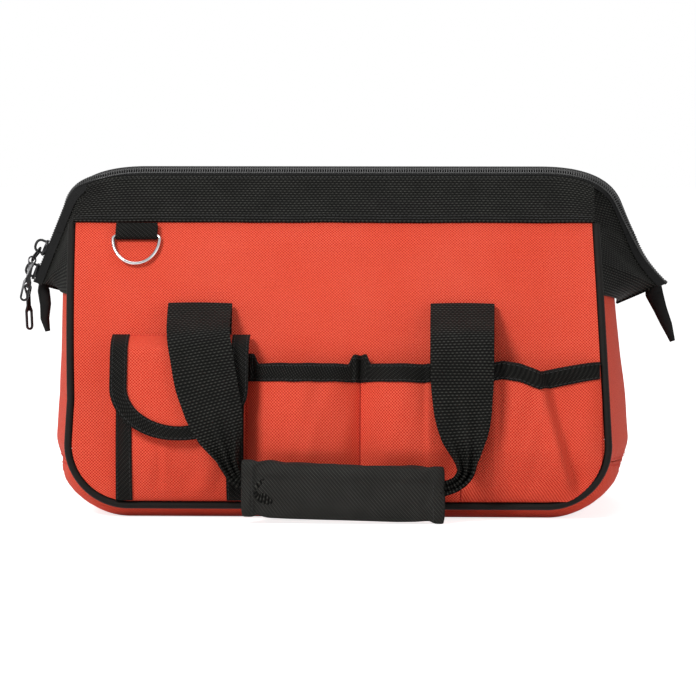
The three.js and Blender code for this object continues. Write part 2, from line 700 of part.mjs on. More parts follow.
// The folded end of the zipper tape that hangs from the tip of each ear
function zipTail(side) {
  const top = atRim(side === LEFT ? 0 : rimLength, 0, -2.8);
  const down = legUp(side).negate();
  const sway = side === LEFT ? 1 : 0.35;
  // Each place is a distance inwards, a distance down, a width and a thickness
  const places = [
    [0, 0, 6, 5.2],
    [-1.2, 4, 6.6, 5.6],
    [0.4, 12, 6.6, 5],
    [2.2, 21, 5.6, 4],
    [3.6, 29, 3, 2.8],
  ];
  const points = places.map(([inwards, z]) => V(top.x - side * (inwards * sway + 0.5), 0, top.z - z));
  points[0].addScaledVector(down, CLEARANCE - 0.2);
  points[1].copy(points[0]).addScaledVector(down, 4);
  return bar(framesAlong(points, V(0, 1, 0)), (_, i) => {
    const [, , width, thickness] = places[i];
    return circle(1, 8).map(([a, b]) => [(a * thickness) / 2, (b * width) / 2]);
  });
}

for (const face of [FRONT, BACK]) {
  const name = faceName[face];
  add(`${name}_mouth_band`, mouthBand(face), "webbing");
  add(`${name}_frame_wire`, frameWire(face), "steel");
  add(`${name}_zip_tape`, zipTape(face), "webbing");
  add(`${name}_zip_coil`, zipCoil(face), "webbing");
  for (const side of [LEFT, RIGHT]) add(`${name}_${sideName[side]}_ear`, ear(face, side), "webbing");
}
for (const side of [LEFT, RIGHT]) {
  add(`${sideName[side]}_frame_rivet`, frameRivet(side), "steel");
  add(`${sideName[side]}_zip_end`, zipEnd(side), "webbing");
  add(`${sideName[side]}_zip_tail`, zipTail(side), "webbing");
}

// Webbing sewn to the wall under the pockets carries the handles, and the pockets' seams run over it
const ANCHOR_CLOTH = 1.2;
const ANCHOR_FOOT = POCKET_FOOT + 9;
const ANCHOR_OUTER = WALL_CLOTH + CLEARANCE + ANCHOR_CLOTH;
function seamOut(x, z) {
  const offset = Math.min(...STRAP_CENTRES.map((centre) => Math.abs(x - centre)));
  const cover = 1 - THREE.MathUtils.smoothstep(offset, STRAP_WIDTH / 2 + 0.4, STRAP_WIDTH / 2 + 3);
  const climb = THREE.MathUtils.clamp((z - POCKET_FOOT) / (ANCHOR_FOOT - POCKET_FOOT - 1), 0, 1);
  return WALL_CLOTH + CLEARANCE + ANCHOR_CLOTH * 1.25 * cover * climb;
}

const openPockets = (names, seams) =>
  names.map((name, i) => ({
    name,
    left: seams[i] + POCKET_GAP / 2,
    right: seams[i + 1] - POCKET_GAP / 2,
    top: POCKET_TOP,
    depth: POCKET_DEPTH,
    square: POCKET_SQUARE,
  }));
const openRow = {
  [FRONT]: openPockets(FRONT_POCKETS, FRONT_SEAMS),
  [BACK]: openPockets(BACK_POCKETS, BACK_SEAMS),
};

// The sides of a pocket at a height, kept inside the round corners of the wall
function pocketSides(pocket, z) {
  const limit = wallHalfWidth(z) - PIPING_RADIUS - 1.8;
  return [Math.max(pocket.left, -limit), Math.min(pocket.right, limit)];
}

// Pockets: cloth that is sewn down at its sides and foot and stands open at the top
function pocketOut(pocket, x, z) {
  const [left, right] = pocketSides(pocket, z);
  const u = THREE.MathUtils.clamp((2 * x - left - right) / (right - left), -1, 1);
  const w = THREE.MathUtils.clamp((z - POCKET_FOOT) / (pocket.top - POCKET_FOOT), 0, 1);
  const fullness = Math.min(1, 2.6 * w) ** 0.7;
  return seamOut(x, z) + pocket.depth * (1 - Math.abs(u) ** pocket.square) * fullness;
}

// The pocket's cloth is laid out on a grid with closer steps at its sides and foot
const POCKET_ROWS = 5;
const POCKET_COLUMNS = 8;
const pocketRow = (pocket, i) => POCKET_FOOT + (pocket.top - POCKET_FOOT) * (i / POCKET_ROWS) ** 1.4;
function pocketColumn(pocket, z, j) {
  const [left, right] = pocketSides(pocket, z);
  const turn = -Math.cos((Math.PI * j) / POCKET_COLUMNS);
  return (left + right) / 2 + (turn * (right - left)) / 2;
}

function pocketCloth(face, pocket) {
  const place = (u, v, depth) => {
    const z = pocketRow(pocket, v * POCKET_ROWS);
    const x = pocketColumn(pocket, z, Math.round(u * POCKET_COLUMNS));
    return onWall(face, x, z, pocketOut(pocket, x, z) + depth * POCKET_CLOTH);
  };
  return cloth(place, POCKET_COLUMNS, POCKET_ROWS);
}

// How far the pocket's cloth stands out between the points of its grid
function clothOut(pocket, x, z) {
  const along = (zRow) => {
    let j = 0;
    while (j < POCKET_COLUMNS - 1 && pocketColumn(pocket, zRow, j + 1) < x) j++;
    const [a, b] = [pocketColumn(pocket, zRow, j), pocketColumn(pocket, zRow, j + 1)];
    const f = THREE.MathUtils.clamp((x - a) / (b - a), 0, 1);
    return THREE.MathUtils.lerp(pocketOut(pocket, a, zRow), pocketOut(pocket, b, zRow), f);
  };
  let i = 0;
  while (i < POCKET_ROWS - 1 && pocketRow(pocket, i + 1) < z) i++;
  const [low, high] = [pocketRow(pocket, i), pocketRow(pocket, i + 1)];
  return THREE.MathUtils.mapLinear(z, low, high, along(low), along(high));
}

// Binding tape over the open edges of a row of pockets
function pocketBinding(face, row) {
  const top = row[0].top;
  const foot = top - BINDING_HEIGHT;
  const places = row.flatMap((pocket) => {
    const steps = Array.from({ length: POCKET_COLUMNS + 1 }, (_, j) => j);
    return steps.map((j) => [pocket, j]);
  });
  const place = (u, v, depth) => {
    const [pocket, j] = places[Math.round(u * (places.length - 1))];
    const z = foot + BINDING_HEIGHT * v;
    const x = pocketColumn(pocket, z, j);
    return onWall(face, x, z, clothOut(pocket, x, z) + POCKET_CLOTH + SEAT + depth * TRIM);
  };
  return cloth(place, places.length - 1, 1);
}

// Upright binding on one side of the flap pocket, laid over the same grid as the pocket's cloth
function sideBinding(side) {
  const edge = side === LEFT ? FLAP_POCKET.left : FLAP_POCKET.right;
  const columns = Array.from({ length: POCKET_COLUMNS }, (_, j) => j)
    .map((j) => pocketColumn(FLAP_POCKET, FLAP_POCKET.top, j) - FLAP_POCKET.left)
    .filter((inset) => inset > SEAT && inset < SIDE_BINDING - SEAT);
  const steps = [CLEARANCE, ...columns, SIDE_BINDING];
  const place = (u, v, depth) => {
    const x = edge - side * steps[Math.round(u * (steps.length - 1))];
    const z = Math.min(pocketRow(FLAP_POCKET, v * POCKET_ROWS), FLAP_POCKET.top - 3);
    return onWall(FRONT, x, z, clothOut(FLAP_POCKET, x, z) + POCKET_CLOTH + SEAT + depth * TRIM);
  };
  return cloth(place, steps.length - 1, POCKET_ROWS);
}

add("front_flap_pocket", pocketCloth(FRONT, FLAP_POCKET), "red_cloth");
for (const face of [FRONT, BACK]) {
  for (const pocket of openRow[face]) add(pocket.name, pocketCloth(face, pocket), "red_cloth");
  add(`${faceName[face]}_pocket_binding`, pocketBinding(face, openRow[face]), "webbing");
}
add("flap_pocket_left_binding", sideBinding(LEFT), "webbing");
add("flap_pocket_right_binding", sideBinding(RIGHT), "webbing");

// The flap: it leaves the wall at its top edge and lies over the pocket
const FLAP_SEAM = ANCHOR_OUTER + CLEARANCE;
const FLAP_REST = FLAP_SEAM + FLAP_POCKET.depth + POCKET_CLOTH + TRIM + SEAT + CLEARANCE;
function flapOut(z) {
  const start = FLAP_TOP;
  const end = FLAP_POCKET.top + 1.5;
  const t = THREE.MathUtils.clamp((start - z) / (start - end), 0, 1);
  return FLAP_SEAM + (FLAP_REST - FLAP_SEAM) * Math.sin((t * Math.PI) / 2) ** 0.9;
}

// Half width of the flap at a height, with round lower corners
function flapSpan(z, inset) {
  const centre = (FLAP_LEFT + FLAP_RIGHT) / 2;
  const half = (FLAP_RIGHT - FLAP_LEFT) / 2 - inset;
  const corner = FLAP_CORNER - inset;
  const below = FLAP_FOOT + FLAP_CORNER - z;
  const cut = below > 0 ? corner - Math.sqrt(Math.max(0, corner ** 2 - Math.min(below, corner) ** 2)) : 0;
  return [centre - half + cut, centre + half - cut];
}

function flapCloth() {
  const place = (u, v, depth) => {
    const z = FLAP_FOOT + (FLAP_TOP - FLAP_FOOT) * v ** 1.5 + 0.02;
    const [left, right] = flapSpan(z, 0);
    return onWall(FRONT, left + (right - left) * u, z, flapOut(z) + depth * POCKET_CLOTH);
  };
  return cloth(place, 8, 11);
}

// The tape that binds the flap's free edge, on its outer face
function flapBinding() {
  const width = SIDE_BINDING - 1.4;
  const corner = FLAP_CORNER;
  const path = new THREE.Path();
  path.moveTo(FLAP_LEFT, FLAP_TOP - 0.5);
  path.lineTo(FLAP_LEFT, FLAP_FOOT + corner);
  path.absarc(FLAP_LEFT + corner, FLAP_FOOT + corner, corner, Math.PI, 1.5 * Math.PI);
  path.lineTo(FLAP_RIGHT - corner, FLAP_FOOT);
  path.absarc(FLAP_RIGHT - corner, FLAP_FOOT + corner, corner, 1.5 * Math.PI, 2 * Math.PI);
  path.lineTo(FLAP_RIGHT, FLAP_TOP - 0.5);
  const place = (u, v, depth) => {
    const p = path.getPointAt(v);
    const t = path.getTangentAt(v);
    const inset = 0.3 + u * width;
    const [x, z] = [p.x - t.y * inset, p.y + t.x * inset];
    return onWall(FRONT, x, z, flapOut(z) + POCKET_CLOTH + CLEARANCE + depth * TRIM);
  };
  return cloth(place, 2, 24);
}

add("pocket_flap", flapCloth(), "red_cloth");
add("flap_binding", flapBinding(), "webbing");

// Webbing sewn to the wall, from which a handle leaves
function handleAnchor(face, x) {
  const top = HANDLE_HEIGHT + 0.6;
  const place = (u, v, depth) => {
    const z = ANCHOR_FOOT + (top - ANCHOR_FOOT) * v;
    return onWall(face, x + STRAP_WIDTH * (u - 0.5), z, ANCHOR_OUTER - (1 - depth) * ANCHOR_CLOTH);
  };
  return cloth(place, 1, 8);
}

// The line of a handle, hanging down over the pockets
function handleLine(face) {
  const [gx, gy, gz] = GRIP_CENTRE;
  const reach = GRIP_LENGTH / 2;
  const y = (value) => -face * value;
  const top = onWall(FRONT, 0, HANDLE_HEIGHT, HANDLE_OFFSET);
  const leg = (side) => {
    const x = side === LEFT ? STRAP_CENTRES[0] : STRAP_CENTRES[1];
    const inward = -side;
    const end = gx + side * reach;
    const bow = side === LEFT ? 0 : 6;
    const span = Math.abs(x + side * bow - end);
    const fall = 23;
    return [
      V(x, y(top.y), top.z),
      V(x, y(top.y - 11), top.z - 7),
      V(x, y(-94), 109),
      V(x, y(-99.8), 97),
      V(x, y(-104), 80),
      V(x - inward * bow * 0.5, y(-106.2), 60),
      ...[0, 25, 50, 72].map((turn) => {
        const a = THREE.MathUtils.degToRad(turn);
        const across = end + side * (3 + (span - 3) * Math.cos(a));
        return V(across, y(-107 + (107 + gy) * Math.sin(a)), gz + fall * (1 - Math.sin(a)));
      }),
      V(end + side * 2, y(gy), gz + 0.2),
      V(gx + side * (reach - 3), y(gy), gz),
      V(gx + side * (reach - 16), y(gy), gz),
    ];
  };
  return [...leg(LEFT), ...leg(RIGHT).reverse()];
}

function handleWebbing(face) {
  const curve = new THREE.CatmullRomCurve3(handleLine(face), false, "centripetal");
  const samples = curve.getSpacedPoints(HANDLE_STEPS);
  // Share of the way along the handle, width and thickness
  const widths = [
    [0, STRAP_WIDTH, WEBBING],
    [0.17, STRAP_WIDTH, WEBBING],
    [0.22, 27, WEBBING + 0.6],
    [0.26, CORE_WIDTH, CORE_THICKNESS],
    [0.5, CORE_WIDTH, CORE_THICKNESS],
  ];
  const sizeAt = (t) => {
    const m = t > 0.5 ? 1 - t : t;
    const k = widths.findIndex((w) => w[0] >= m);
    if (k <= 0) return [STRAP_WIDTH, WEBBING];
    const [a, b] = [widths[k - 1], widths[k]];
    const f = (m - a[0]) / (b[0] - a[0]);
    return [a[1] + (b[1] - a[1]) * f, a[2] + (b[2] - a[2]) * f];
  };
  // The webbing's face is kept square to its path, so it bends in its own plane at the corners
  return bar(framesAlong(samples, V(0, -face, 0)), (t) => {
    const [w, h] = sizeAt(t).map((size) => size / 2);
    return [
      [-h, -w],
      [h, -w],
      [h, w],
      [-h, w],
    ];
  });
}

// Padded wrap that closes round the front handle
function gripWrap() {
  const [gx, gy, gz] = GRIP_CENTRE;
  const half = GRIP_LENGTH / 2;
  const outline = (w, t, r) => {
    const shape = new THREE.Shape();
    shape.absarc(t - r, w - r, r, 0, Math.PI / 2);
    shape.absarc(-t + r, w - r, r, Math.PI / 2, Math.PI);
    shape.absarc(-t + r, -w + r, r, Math.PI, 1.5 * Math.PI);
    shape.absarc(t - r, -w + r, r, 1.5 * Math.PI, 2 * Math.PI);
    return shape;
  };
  const shape = outline(GRIP_HEIGHT / 2, GRIP_THICKNESS / 2, 3.5);
  const room = 0.8;
  const inner = outline(CORE_WIDTH / 2 + room, CORE_THICKNESS / 2 + room, 1);
  shape.holes.push(new THREE.Path(inner.getPoints(3).reverse()));
  const geometry = new THREE.ExtrudeGeometry(shape, extrusion(GRIP_LENGTH, 3));
  geometry.applyMatrix4(new THREE.Matrix4().makeBasis(V(0, 1, 0), V(0, 0, 1), V(1, 0, 0)));
  return geometry.translate(gx - half, gy, gz);
}

for (const face of [FRONT, BACK]) {
  const name = faceName[face];
  for (const side of [LEFT, RIGHT]) {
    const x = side === LEFT ? STRAP_CENTRES[0] : STRAP_CENTRES[1];
    add(`${name}_${sideName[side]}_anchor`, handleAnchor(face, x), "webbing");
  }
  add(`${name}_handle_webbing`, handleWebbing(face), "webbing");
}
add("front_grip_wrap", gripWrap(), "webbing");

// D-rings and the webbing tabs that hold them
function ringBar(face) {
  const out = WALL_CLOTH + CLEARANCE + RING_WIRE + CLEARANCE + TRIM;
  return onWall(face, -face * RING_X, BAND_LOWER - TAB_LENGTH, out);
}

function wallFrame(face) {
  const z = BAND_LOWER - TAB_LENGTH;
  const [ny, nz] = wallNormal(z);
  return { out: V(0, face * ny, nz), down: V(0, face * nz, -ny) };
}

function dRing(face) {
  const at = ringBar(face);
  const { out, down } = wallFrame(face);
  const lie = THREE.MathUtils.degToRad(RING_LIE);
  const fall = down.clone().multiplyScalar(Math.cos(lie)).addScaledVector(out, -Math.sin(lie));
  const x = V(1, 0, 0);
  const place = (a, b) => at.clone().addScaledVector(x, a).addScaledVector(fall, b);
  const w = RING_HALF_WIDTH;
  const points = [];
  for (const end of [-1, 1]) points.push(place(end * (w - 1.1), 0));
  for (let i = 0; i <= 12; i++) {
    const a = (Math.PI * i) / 12;
    points.push(place(w * Math.cos(a), 1.9 + (RING_DROP - 1.9) * Math.sin(a)));
  }
  const normal = x.clone().cross(fall);
  return bar(framesAlong(points, normal, true), () => circle(RING_WIRE, 6), true);
}

function ringTab(face) {
  const at = ringBar(face);
  const { out, down } = wallFrame(face);
  const inner = RING_WIRE + CLEARANCE;
  const outer = inner + TRIM;
  const shape = new THREE.Shape();
  const neck = TAB_LENGTH - SEAT;
  // Drawn with the bar at the origin: first axis out from the wall, second axis down along it
  shape.moveTo(outer, 0);
  shape.absarc(0, 0, outer, 0, Math.PI);
  shape.lineTo(-outer, -neck);
  shape.lineTo(outer - 1.4, -neck);
  shape.lineTo(outer, 0);
  const hole = new THREE.Path();
  hole.absarc(0, 0, inner, 0, 2 * Math.PI, true);
  shape.holes.push(hole);
  const geometry = new THREE.ExtrudeGeometry(shape, extrusion(TAB_WIDTH, 7));
  geometry.applyMatrix4(new THREE.Matrix4().makeBasis(out, down, V(1, 0, 0)));
  return outwards(mergeVertices(geometry.translate(at.x - TAB_WIDTH / 2, at.y, at.z)));
}

for (const face of [FRONT, BACK]) {
  add(`${faceName[face]}_ring_tab`, ringTab(face), "webbing");
  add(`${faceName[face]}_d_ring`, dRing(face), "steel");
}

// Zipper sliders on the left leg, each with a link and a pull
const slideUp = legUp(LEFT);
const slideOut = legOut(LEFT);
const onLeg = (along, y, out) =>
  V(-RIM_TIP[0], y, RIM_TIP[1]).addScaledVector(slideUp, along).addScaledVector(slideOut, out);

// Moves a geometry drawn in [across, along, out] onto the left leg
function ontoLeg(geometry, along) {
  const centre = onLeg(along, 0, 0);
  const basis = new THREE.Matrix4().makeBasis(V(0, -1, 0), slideUp, slideOut);
  return geometry.applyMatrix4(basis).translate(centre.x, centre.y, centre.z);
}

const CHANNEL_HALF = COIL_THICKNESS / 2 + CLEARANCE;
const PLATE_TOP = CHANNEL_HALF + SLIDER_PLATE;

// A slider: two plates with side lips, joined by a neck between the parted sides, and a crown for the pull.
// neckEnd is 1 where the neck is at the upper end and -1 where it is at the lower end.
function slider(along, neckEnd) {
  const half = SLIDER_LENGTH / 2;
  const wide = SLIDER_HALF_WIDTH;
  const plate = () => {
    const shape = new THREE.Shape();
    shape.moveTo(-wide * 0.7, -neckEnd * half);
    shape.lineTo(wide * 0.7, -neckEnd * half);
    shape.quadraticCurveTo(wide, -neckEnd * half * 0.2, wide, neckEnd * half * 0.3);
    shape.quadraticCurveTo(wide, neckEnd * half, wide * 0.45, neckEnd * half);
    shape.lineTo(-wide * 0.45, neckEnd * half);
    shape.quadraticCurveTo(-wide, neckEnd * half, -wide, neckEnd * half * 0.3);
    shape.quadraticCurveTo(-wide, -neckEnd * half * 0.2, -wide * 0.7, -neckEnd * half);
    return new THREE.ExtrudeGeometry(shape, extrusion(SLIDER_PLATE, 3));
  };
  const between = (a, b) => [Math.min(a, b), Math.max(a, b)];
  const parts = [plate().translate(0, 0, CHANNEL_HALF), plate().translate(0, 0, -PLATE_TOP)];
  const slot = TAPE / 2 + CLEARANCE;
  const lipInner = COIL_HALF_WIDTH + CLEARANCE;
  for (const side of [-1, 1])
    for (const level of [-1, 1]) {
      const [x0, x1] = between(side * lipInner, side * (lipInner + 0.9));
      const [z0, z1] = between(level * slot, level * (CHANNEL_HALF + 0.4));
      parts.push(box(V(x0, -half * 0.55, z0), V(x1, half * 0.55, z1)));
    }
  const [n0, n1] = between(neckEnd * (half - 3), neckEnd * (half - 0.5));
  parts.push(box(V(-SLIDER_NECK, n0, -PLATE_TOP + 0.4), V(SLIDER_NECK, n1, PLATE_TOP - 0.4)));
  const { halfLength: l, height, wire } = CROWN;
  const crown = new THREE.CatmullRomCurve3([
    V(0, -l, PLATE_TOP - 0.4),
    V(0, -l, PLATE_TOP + height * 0.65),
    V(0, -l * 0.55, PLATE_TOP + height),
    V(0, l * 0.55, PLATE_TOP + height),
    V(0, l, PLATE_TOP + height * 0.65),
    V(0, l, PLATE_TOP - 0.4),
  ]);
  parts.push(bar(framesAlong(crown.getPoints(12), V(1, 0, 0)), () => circle(wire, 6)));
  return ontoLeg(geometryOf(parts.map(solidOf).reduce((a, b) => a.add(b))), along);
}

// A pull's link hangs round the lower post of the crown. fall is its direction, wide its width.
const postOf = (along) => onLeg(along - CROWN.halfLength, 0, PLATE_TOP + CROWN.height * 0.45);
const LINK_GRIP = CROWN.wire + LINK.wire + SEAT;
const linkEnd = (along, fall) => postOf(along).addScaledVector(fall, LINK.length - LINK_GRIP);

function pullLink(along, fall, wide) {
  const { length, halfWidth: w, corner: r, wire } = LINK;
  const start = postOf(along).addScaledVector(fall, -LINK_GRIP);
  const corners = [
    [w - r, r, -Math.PI / 2],
    [w - r, length - r, 0],
    [-w + r, length - r, Math.PI / 2],
    [-w + r, r, Math.PI],
  ];
  const points = corners.flatMap(([a, b, from]) =>
    [0, 1, 2, 3].map((i) => {
      const turn = from + (i * Math.PI) / 6;
      return start
        .clone()
        .addScaledVector(wide, a + r * Math.cos(turn))
        .addScaledVector(fall, b + r * Math.sin(turn));
    }),
  );
  return bar(framesAlong(points, wide.clone().cross(fall), true), () => circle(wire, 6), true);
}

// The pull itself: a flat stem with an eye at the top and a long open loop at its end
function pullTab(along, linkFall, fall, face, sag) {
  const { length, stem, loop, head, eye, thickness } = PULL;
  const shape = new THREE.Shape();
  const shoulder = length * 0.42;
  shape.absarc(0, 0, head, -0.55, Math.PI + 0.55);
  shape.lineTo(-stem / 2, -head - 1.6);
  shape.lineTo(-stem / 2, -shoulder);
  shape.lineTo(-loop / 2, -shoulder - 3);
  shape.absarc(0, -length + loop / 2, loop / 2, Math.PI, 2 * Math.PI);
  shape.lineTo(loop / 2, -shoulder - 3);
  shape.lineTo(stem / 2, -shoulder);
  shape.lineTo(stem / 2, -head - 1.6);
  const hole = new THREE.Path();
  hole.absarc(0, 0, eye, 0, 2 * Math.PI, true);
  const inside = loop / 2 - 1.3;
  const window = new THREE.Path();
  window.absarc(0, -length + loop / 2, inside, Math.PI, 2 * Math.PI, false);
  window.absarc(0, -shoulder - 4.5, inside, 0, Math.PI, false);
  shape.holes.push(hole, window);
  const geometry = new THREE.ExtrudeGeometry(shape, extrusion(thickness, 4));
  geometry.translate(0, -sag, -thickness / 2);
  const up = fall.clone().negate();
  const normal = face.clone().addScaledVector(up, -face.dot(up)).normalize();
  geometry.applyMatrix4(new THREE.Matrix4().makeBasis(up.clone().cross(normal), up, normal));
  const at = linkEnd(along, linkFall);
  return geometry.translate(at.x, at.y, at.z);
}

// The upper pull hangs in front of the lower slider, so its link leans to the front
const PULLS = [
  {
    name: "upper",
    along: UPPER_SLIDER_AT,
    neckEnd: -1,
    linkFall: V(-0.44, -0.66, -0.62).normalize(),
    linkNormal: V(-0.9, 0, 0.35),
    fall: V(-0.19, -0.24, -0.95).normalize(),
    face: V(0, -1, 0),
    sag: 0.4,
  },
  {
    name: "lower",
    along: LOWER_SLIDER_AT,
    neckEnd: 1,
    linkFall: V(-0.12, 0, -1).normalize(),
    linkNormal: V(-1, 0, 0),
    fall: V(0.04, 0, -1).normalize(),
    face: V(0.7, -0.7, 0),
    sag: 0.4,
  },
];
for (const { name, along, neckEnd, linkFall, linkNormal, fall, face, sag } of PULLS) {
  const wide = linkNormal.clone().cross(linkFall).normalize();
  add(`${name}_slider`, slider(along, neckEnd), "dark_metal");
  add(`${name}_pull_link`, pullLink(along, linkFall, wide), "dark_metal");
  add(`${name}_pull_tab`, pullTab(along, linkFall, fall, face, sag), "dark_metal");
}

export default bag;
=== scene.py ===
# %% [markdown]
# # A zippered tool bag
# The real thing is a wide-mouthed bag of red coated polyester. Black webbing makes its mouth and
# handles, black tape binds its pockets, and a coil zipper runs over a hinged wire frame.
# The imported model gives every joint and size. This script dresses it: each soft solid is replaced
# by cloth on the same lines, the sliders and pulls get finer copies, and the frame stays as it is.

# %% Load the frame
import math
from contextlib import contextmanager
import bpy
import bmesh
import numpy as np
from mathutils import Matrix, Vector, noise


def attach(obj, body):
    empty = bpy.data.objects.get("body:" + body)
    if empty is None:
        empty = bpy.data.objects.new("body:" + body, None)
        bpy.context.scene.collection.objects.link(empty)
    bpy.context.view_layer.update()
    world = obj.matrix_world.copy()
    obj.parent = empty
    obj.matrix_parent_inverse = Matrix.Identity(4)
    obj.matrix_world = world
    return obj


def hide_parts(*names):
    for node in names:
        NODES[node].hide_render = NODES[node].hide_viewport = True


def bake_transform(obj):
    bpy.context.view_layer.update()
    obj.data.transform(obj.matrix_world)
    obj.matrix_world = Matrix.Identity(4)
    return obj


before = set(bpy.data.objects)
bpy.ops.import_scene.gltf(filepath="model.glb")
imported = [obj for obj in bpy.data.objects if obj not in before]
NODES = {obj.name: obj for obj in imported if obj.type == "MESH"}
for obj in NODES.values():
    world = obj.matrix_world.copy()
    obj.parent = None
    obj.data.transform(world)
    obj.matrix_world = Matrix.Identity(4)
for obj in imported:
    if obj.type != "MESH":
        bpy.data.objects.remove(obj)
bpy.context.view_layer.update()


def in_scene(name, data):
    """A new object of the scene, at the origin."""
    thing = bpy.data.objects.new(name, data)
    bpy.context.scene.collection.objects.link(thing)
    return thing


# %% [markdown]
# ## Camera, floor and light
# The photograph is a straight product view, a little to the right and a little above. A long lens
# far away keeps that calm perspective. Large area lamps give soft light from the upper left, and
# the camera sees the world as white while the lamps stay at a plain level.

# %% Camera
TARGET = Vector((0.0062, -0.086, 0.1015))
AZIMUTH, ELEVATION, DISTANCE = math.radians(2.3), math.radians(4), 2.5
SENSOR, PHOTO_WIDTH, METRES_PER_PIXEL = 36, 696, 0.00059

camera_data = bpy.data.cameras.new("camera")
camera_data.sensor_width = SENSOR
camera_data.lens = SENSOR * DISTANCE / (PHOTO_WIDTH * METRES_PER_PIXEL)
camera_data.clip_start, camera_data.clip_end = 0.1, 50
camera = in_scene("camera", camera_data)
level = math.cos(ELEVATION)
back = Vector((math.sin(AZIMUTH) * level, -math.cos(AZIMUTH) * level, math.sin(ELEVATION)))
camera.location = TARGET + back * DISTANCE
camera.rotation_mode = "QUATERNION"
camera.rotation_quaternion = (-back).to_track_quat("-Z", "Y")
bpy.context.scene.camera = camera
bpy.context.scene.view_settings.view_transform = "Standard"
print("lens:", round(camera_data.lens, 1), "mm")


# %% Lamps
LAMP_AIM = Vector((0, 0, 0.1))


def area_lamp(name, place, size, power):
    """A square lamp that looks at the middle of the bag."""
    data = bpy.data.lights.new(name, "AREA")
    data.shape, data.size, data.energy = "SQUARE", size, power
    lamp = in_scene(name, data)
    lamp.location = place
    lamp.rotation_mode = "QUATERNION"
    lamp.rotation_quaternion = (LAMP_AIM - Vector(place)).to_track_quat("-Z", "Y")


area_lamp("key_lamp", (-1.1, -1.5, 1.5), 0.65, 33)
area_lamp("fill_lamp", (1.5, -1.3, 0.7), 1.2, 5)
area_lamp("top_lamp", (0.1, 0.3, 1.9), 1.2, 9)


# %% Node helpers
class Nodes:
    """Short ways to add nodes to a tree and link them."""

    def __init__(self, tree, clear=False):
        self.tree = tree
        if clear:
            tree.nodes.clear()

    def add(self, kind, values=None, **settings):
        """The outputs of a new node whose inputs, by name or number, are linked or set."""
        node = self.tree.nodes.new(kind)
        for name, value in settings.items():
            setattr(node, name, value)
        for key, value in (values or {}).items():
            if isinstance(value, bpy.types.NodeSocket):
                self.tree.links.new(value, node.inputs[key])
            elif value is not None:
                node.inputs[key].default_value = value
        return node.outputs

    def math(self, operation, a, b=None, clamp=False):
        return self.add("ShaderNodeMath", {0: a, 1: b}, operation=operation, use_clamp=clamp)[0]

    def times(self, a, b):
        return self.math("MULTIPLY", a, b)

    def plus(self, a, b, clamp=False):
        return self.math("ADD", a, b, clamp)

    def colours(self, factor, dark, light):
        """A mix of two colours by a factor."""
        dark, light = ((*c, 1) if isinstance(c, tuple) else c for c in (dark, light))
        return self.add("ShaderNodeMix", {0: factor, 6: dark, 7: light}, data_type="RGBA")[2]

    def noise(self, vector, scale, detail=3.0):
        return self.add("ShaderNodeTexNoise", {"Vector": vector, "Scale": scale, "Detail": detail})["Fac"]

    def wave(self, value, pitch):
        return self.math("SINE", self.times(value, 2 * math.pi / pitch))

    def half_up(self, value):
        """Turns -1..1 into 0..1."""
        return self.plus(self.times(value, 0.5), 0.5)

    def plain(self, kind, grey, strength=None):
        """A shader of one grey, with its strength where it has one."""
        values = {"Color": (grey, grey, grey, 1)}
        if strength is not None:
            values["Strength"] = strength
        return self.add(kind, values)[0]


# %% Floor and world
WORLD_LIGHT, GLOSSY_SHARE = 0.24, 0.5
FLOOR_REACH, FLOOR_GREY, FLOOR_GLOW = 6, 0.9, 0.8


def plain_world():
    """A plain light from all sides, which the camera sees as white."""
    world = bpy.data.worlds.new("studio")
    bpy.context.scene.world = world
    world.use_nodes = True
    n = Nodes(world.node_tree, clear=True)
    rays = n.add("ShaderNodeLightPath")
    seen = n.math("MAXIMUM", rays["Is Camera Ray"], rays["Is Transmission Ray"])
    seen = n.math("MAXIMUM", seen, n.times(rays["Is Glossy Ray"], GLOSSY_SHARE))
    plain, white = (n.plain("ShaderNodeBackground", 1, strength) for strength in (WORLD_LIGHT, 1))
    n.add("ShaderNodeOutputWorld", {0: n.add("ShaderNodeMixShader", {0: seen, 1: plain, 2: white})[0]})


def pale_floor():
    """A large white floor that keeps the bag's shadow and fades into the world behind."""
    r = FLOOR_REACH
    mesh = bpy.data.meshes.new("floor")
    mesh.from_pydata([(-r, -r, 0), (r, -r, 0), (r, r, 0), (-r, r, 0)], [], [(0, 1, 2, 3)])
    material = bpy.data.materials.new("pale_floor")
    material.use_nodes = True
    n = Nodes(material.node_tree, clear=True)
    rays = n.add("ShaderNodeLightPath")
    seen = n.math("MAXIMUM", rays["Is Camera Ray"], n.times(rays["Is Glossy Ray"], GLOSSY_SHARE))
    dark, glow = (n.plain("ShaderNodeEmission", 1, strength) for strength in (0, FLOOR_GLOW))
    lit = n.add("ShaderNodeMixShader", {0: seen, 1: dark, 2: glow})[0]
    both = n.add("ShaderNodeAddShader", {0: n.plain("ShaderNodeBsdfDiffuse", FLOOR_GREY), 1: lit})[0]
    n.add("ShaderNodeOutputMaterial", {0: both})
    mesh.materials.append(material)
    in_scene("floor", mesh)


plain_world()
pale_floor()
print("floor and world are white to the camera")

# %% [markdown]
# ## Finishes
# Each finish is made of nodes. Cloth patterns read the piece's own flat coordinates, in metres, so
# that threads keep their real size and follow the cloth: dots 1.8 mm apart on the red polyester,
# ribs 1.8 mm apart on the webbing, and finer slanted ribs on the tapes and the grip. Thread, metal
# and board read the object's place instead.

# %% Weave patterns
def principled(name, roughness, **values):
    """A new material: its node helper and its shader, with plain numbers on the shader's sockets."""
    material = bpy.data.materials.new(name)
    material.use_nodes = True
    shader = material.node_tree.nodes["Principled BSDF"]
    shader.inputs["Roughness"].default_value = roughness
    for socket, value in values.items():
        shader.inputs[socket.replace("_", " ")].default_value = value
    return material, Nodes(material.node_tree), shader


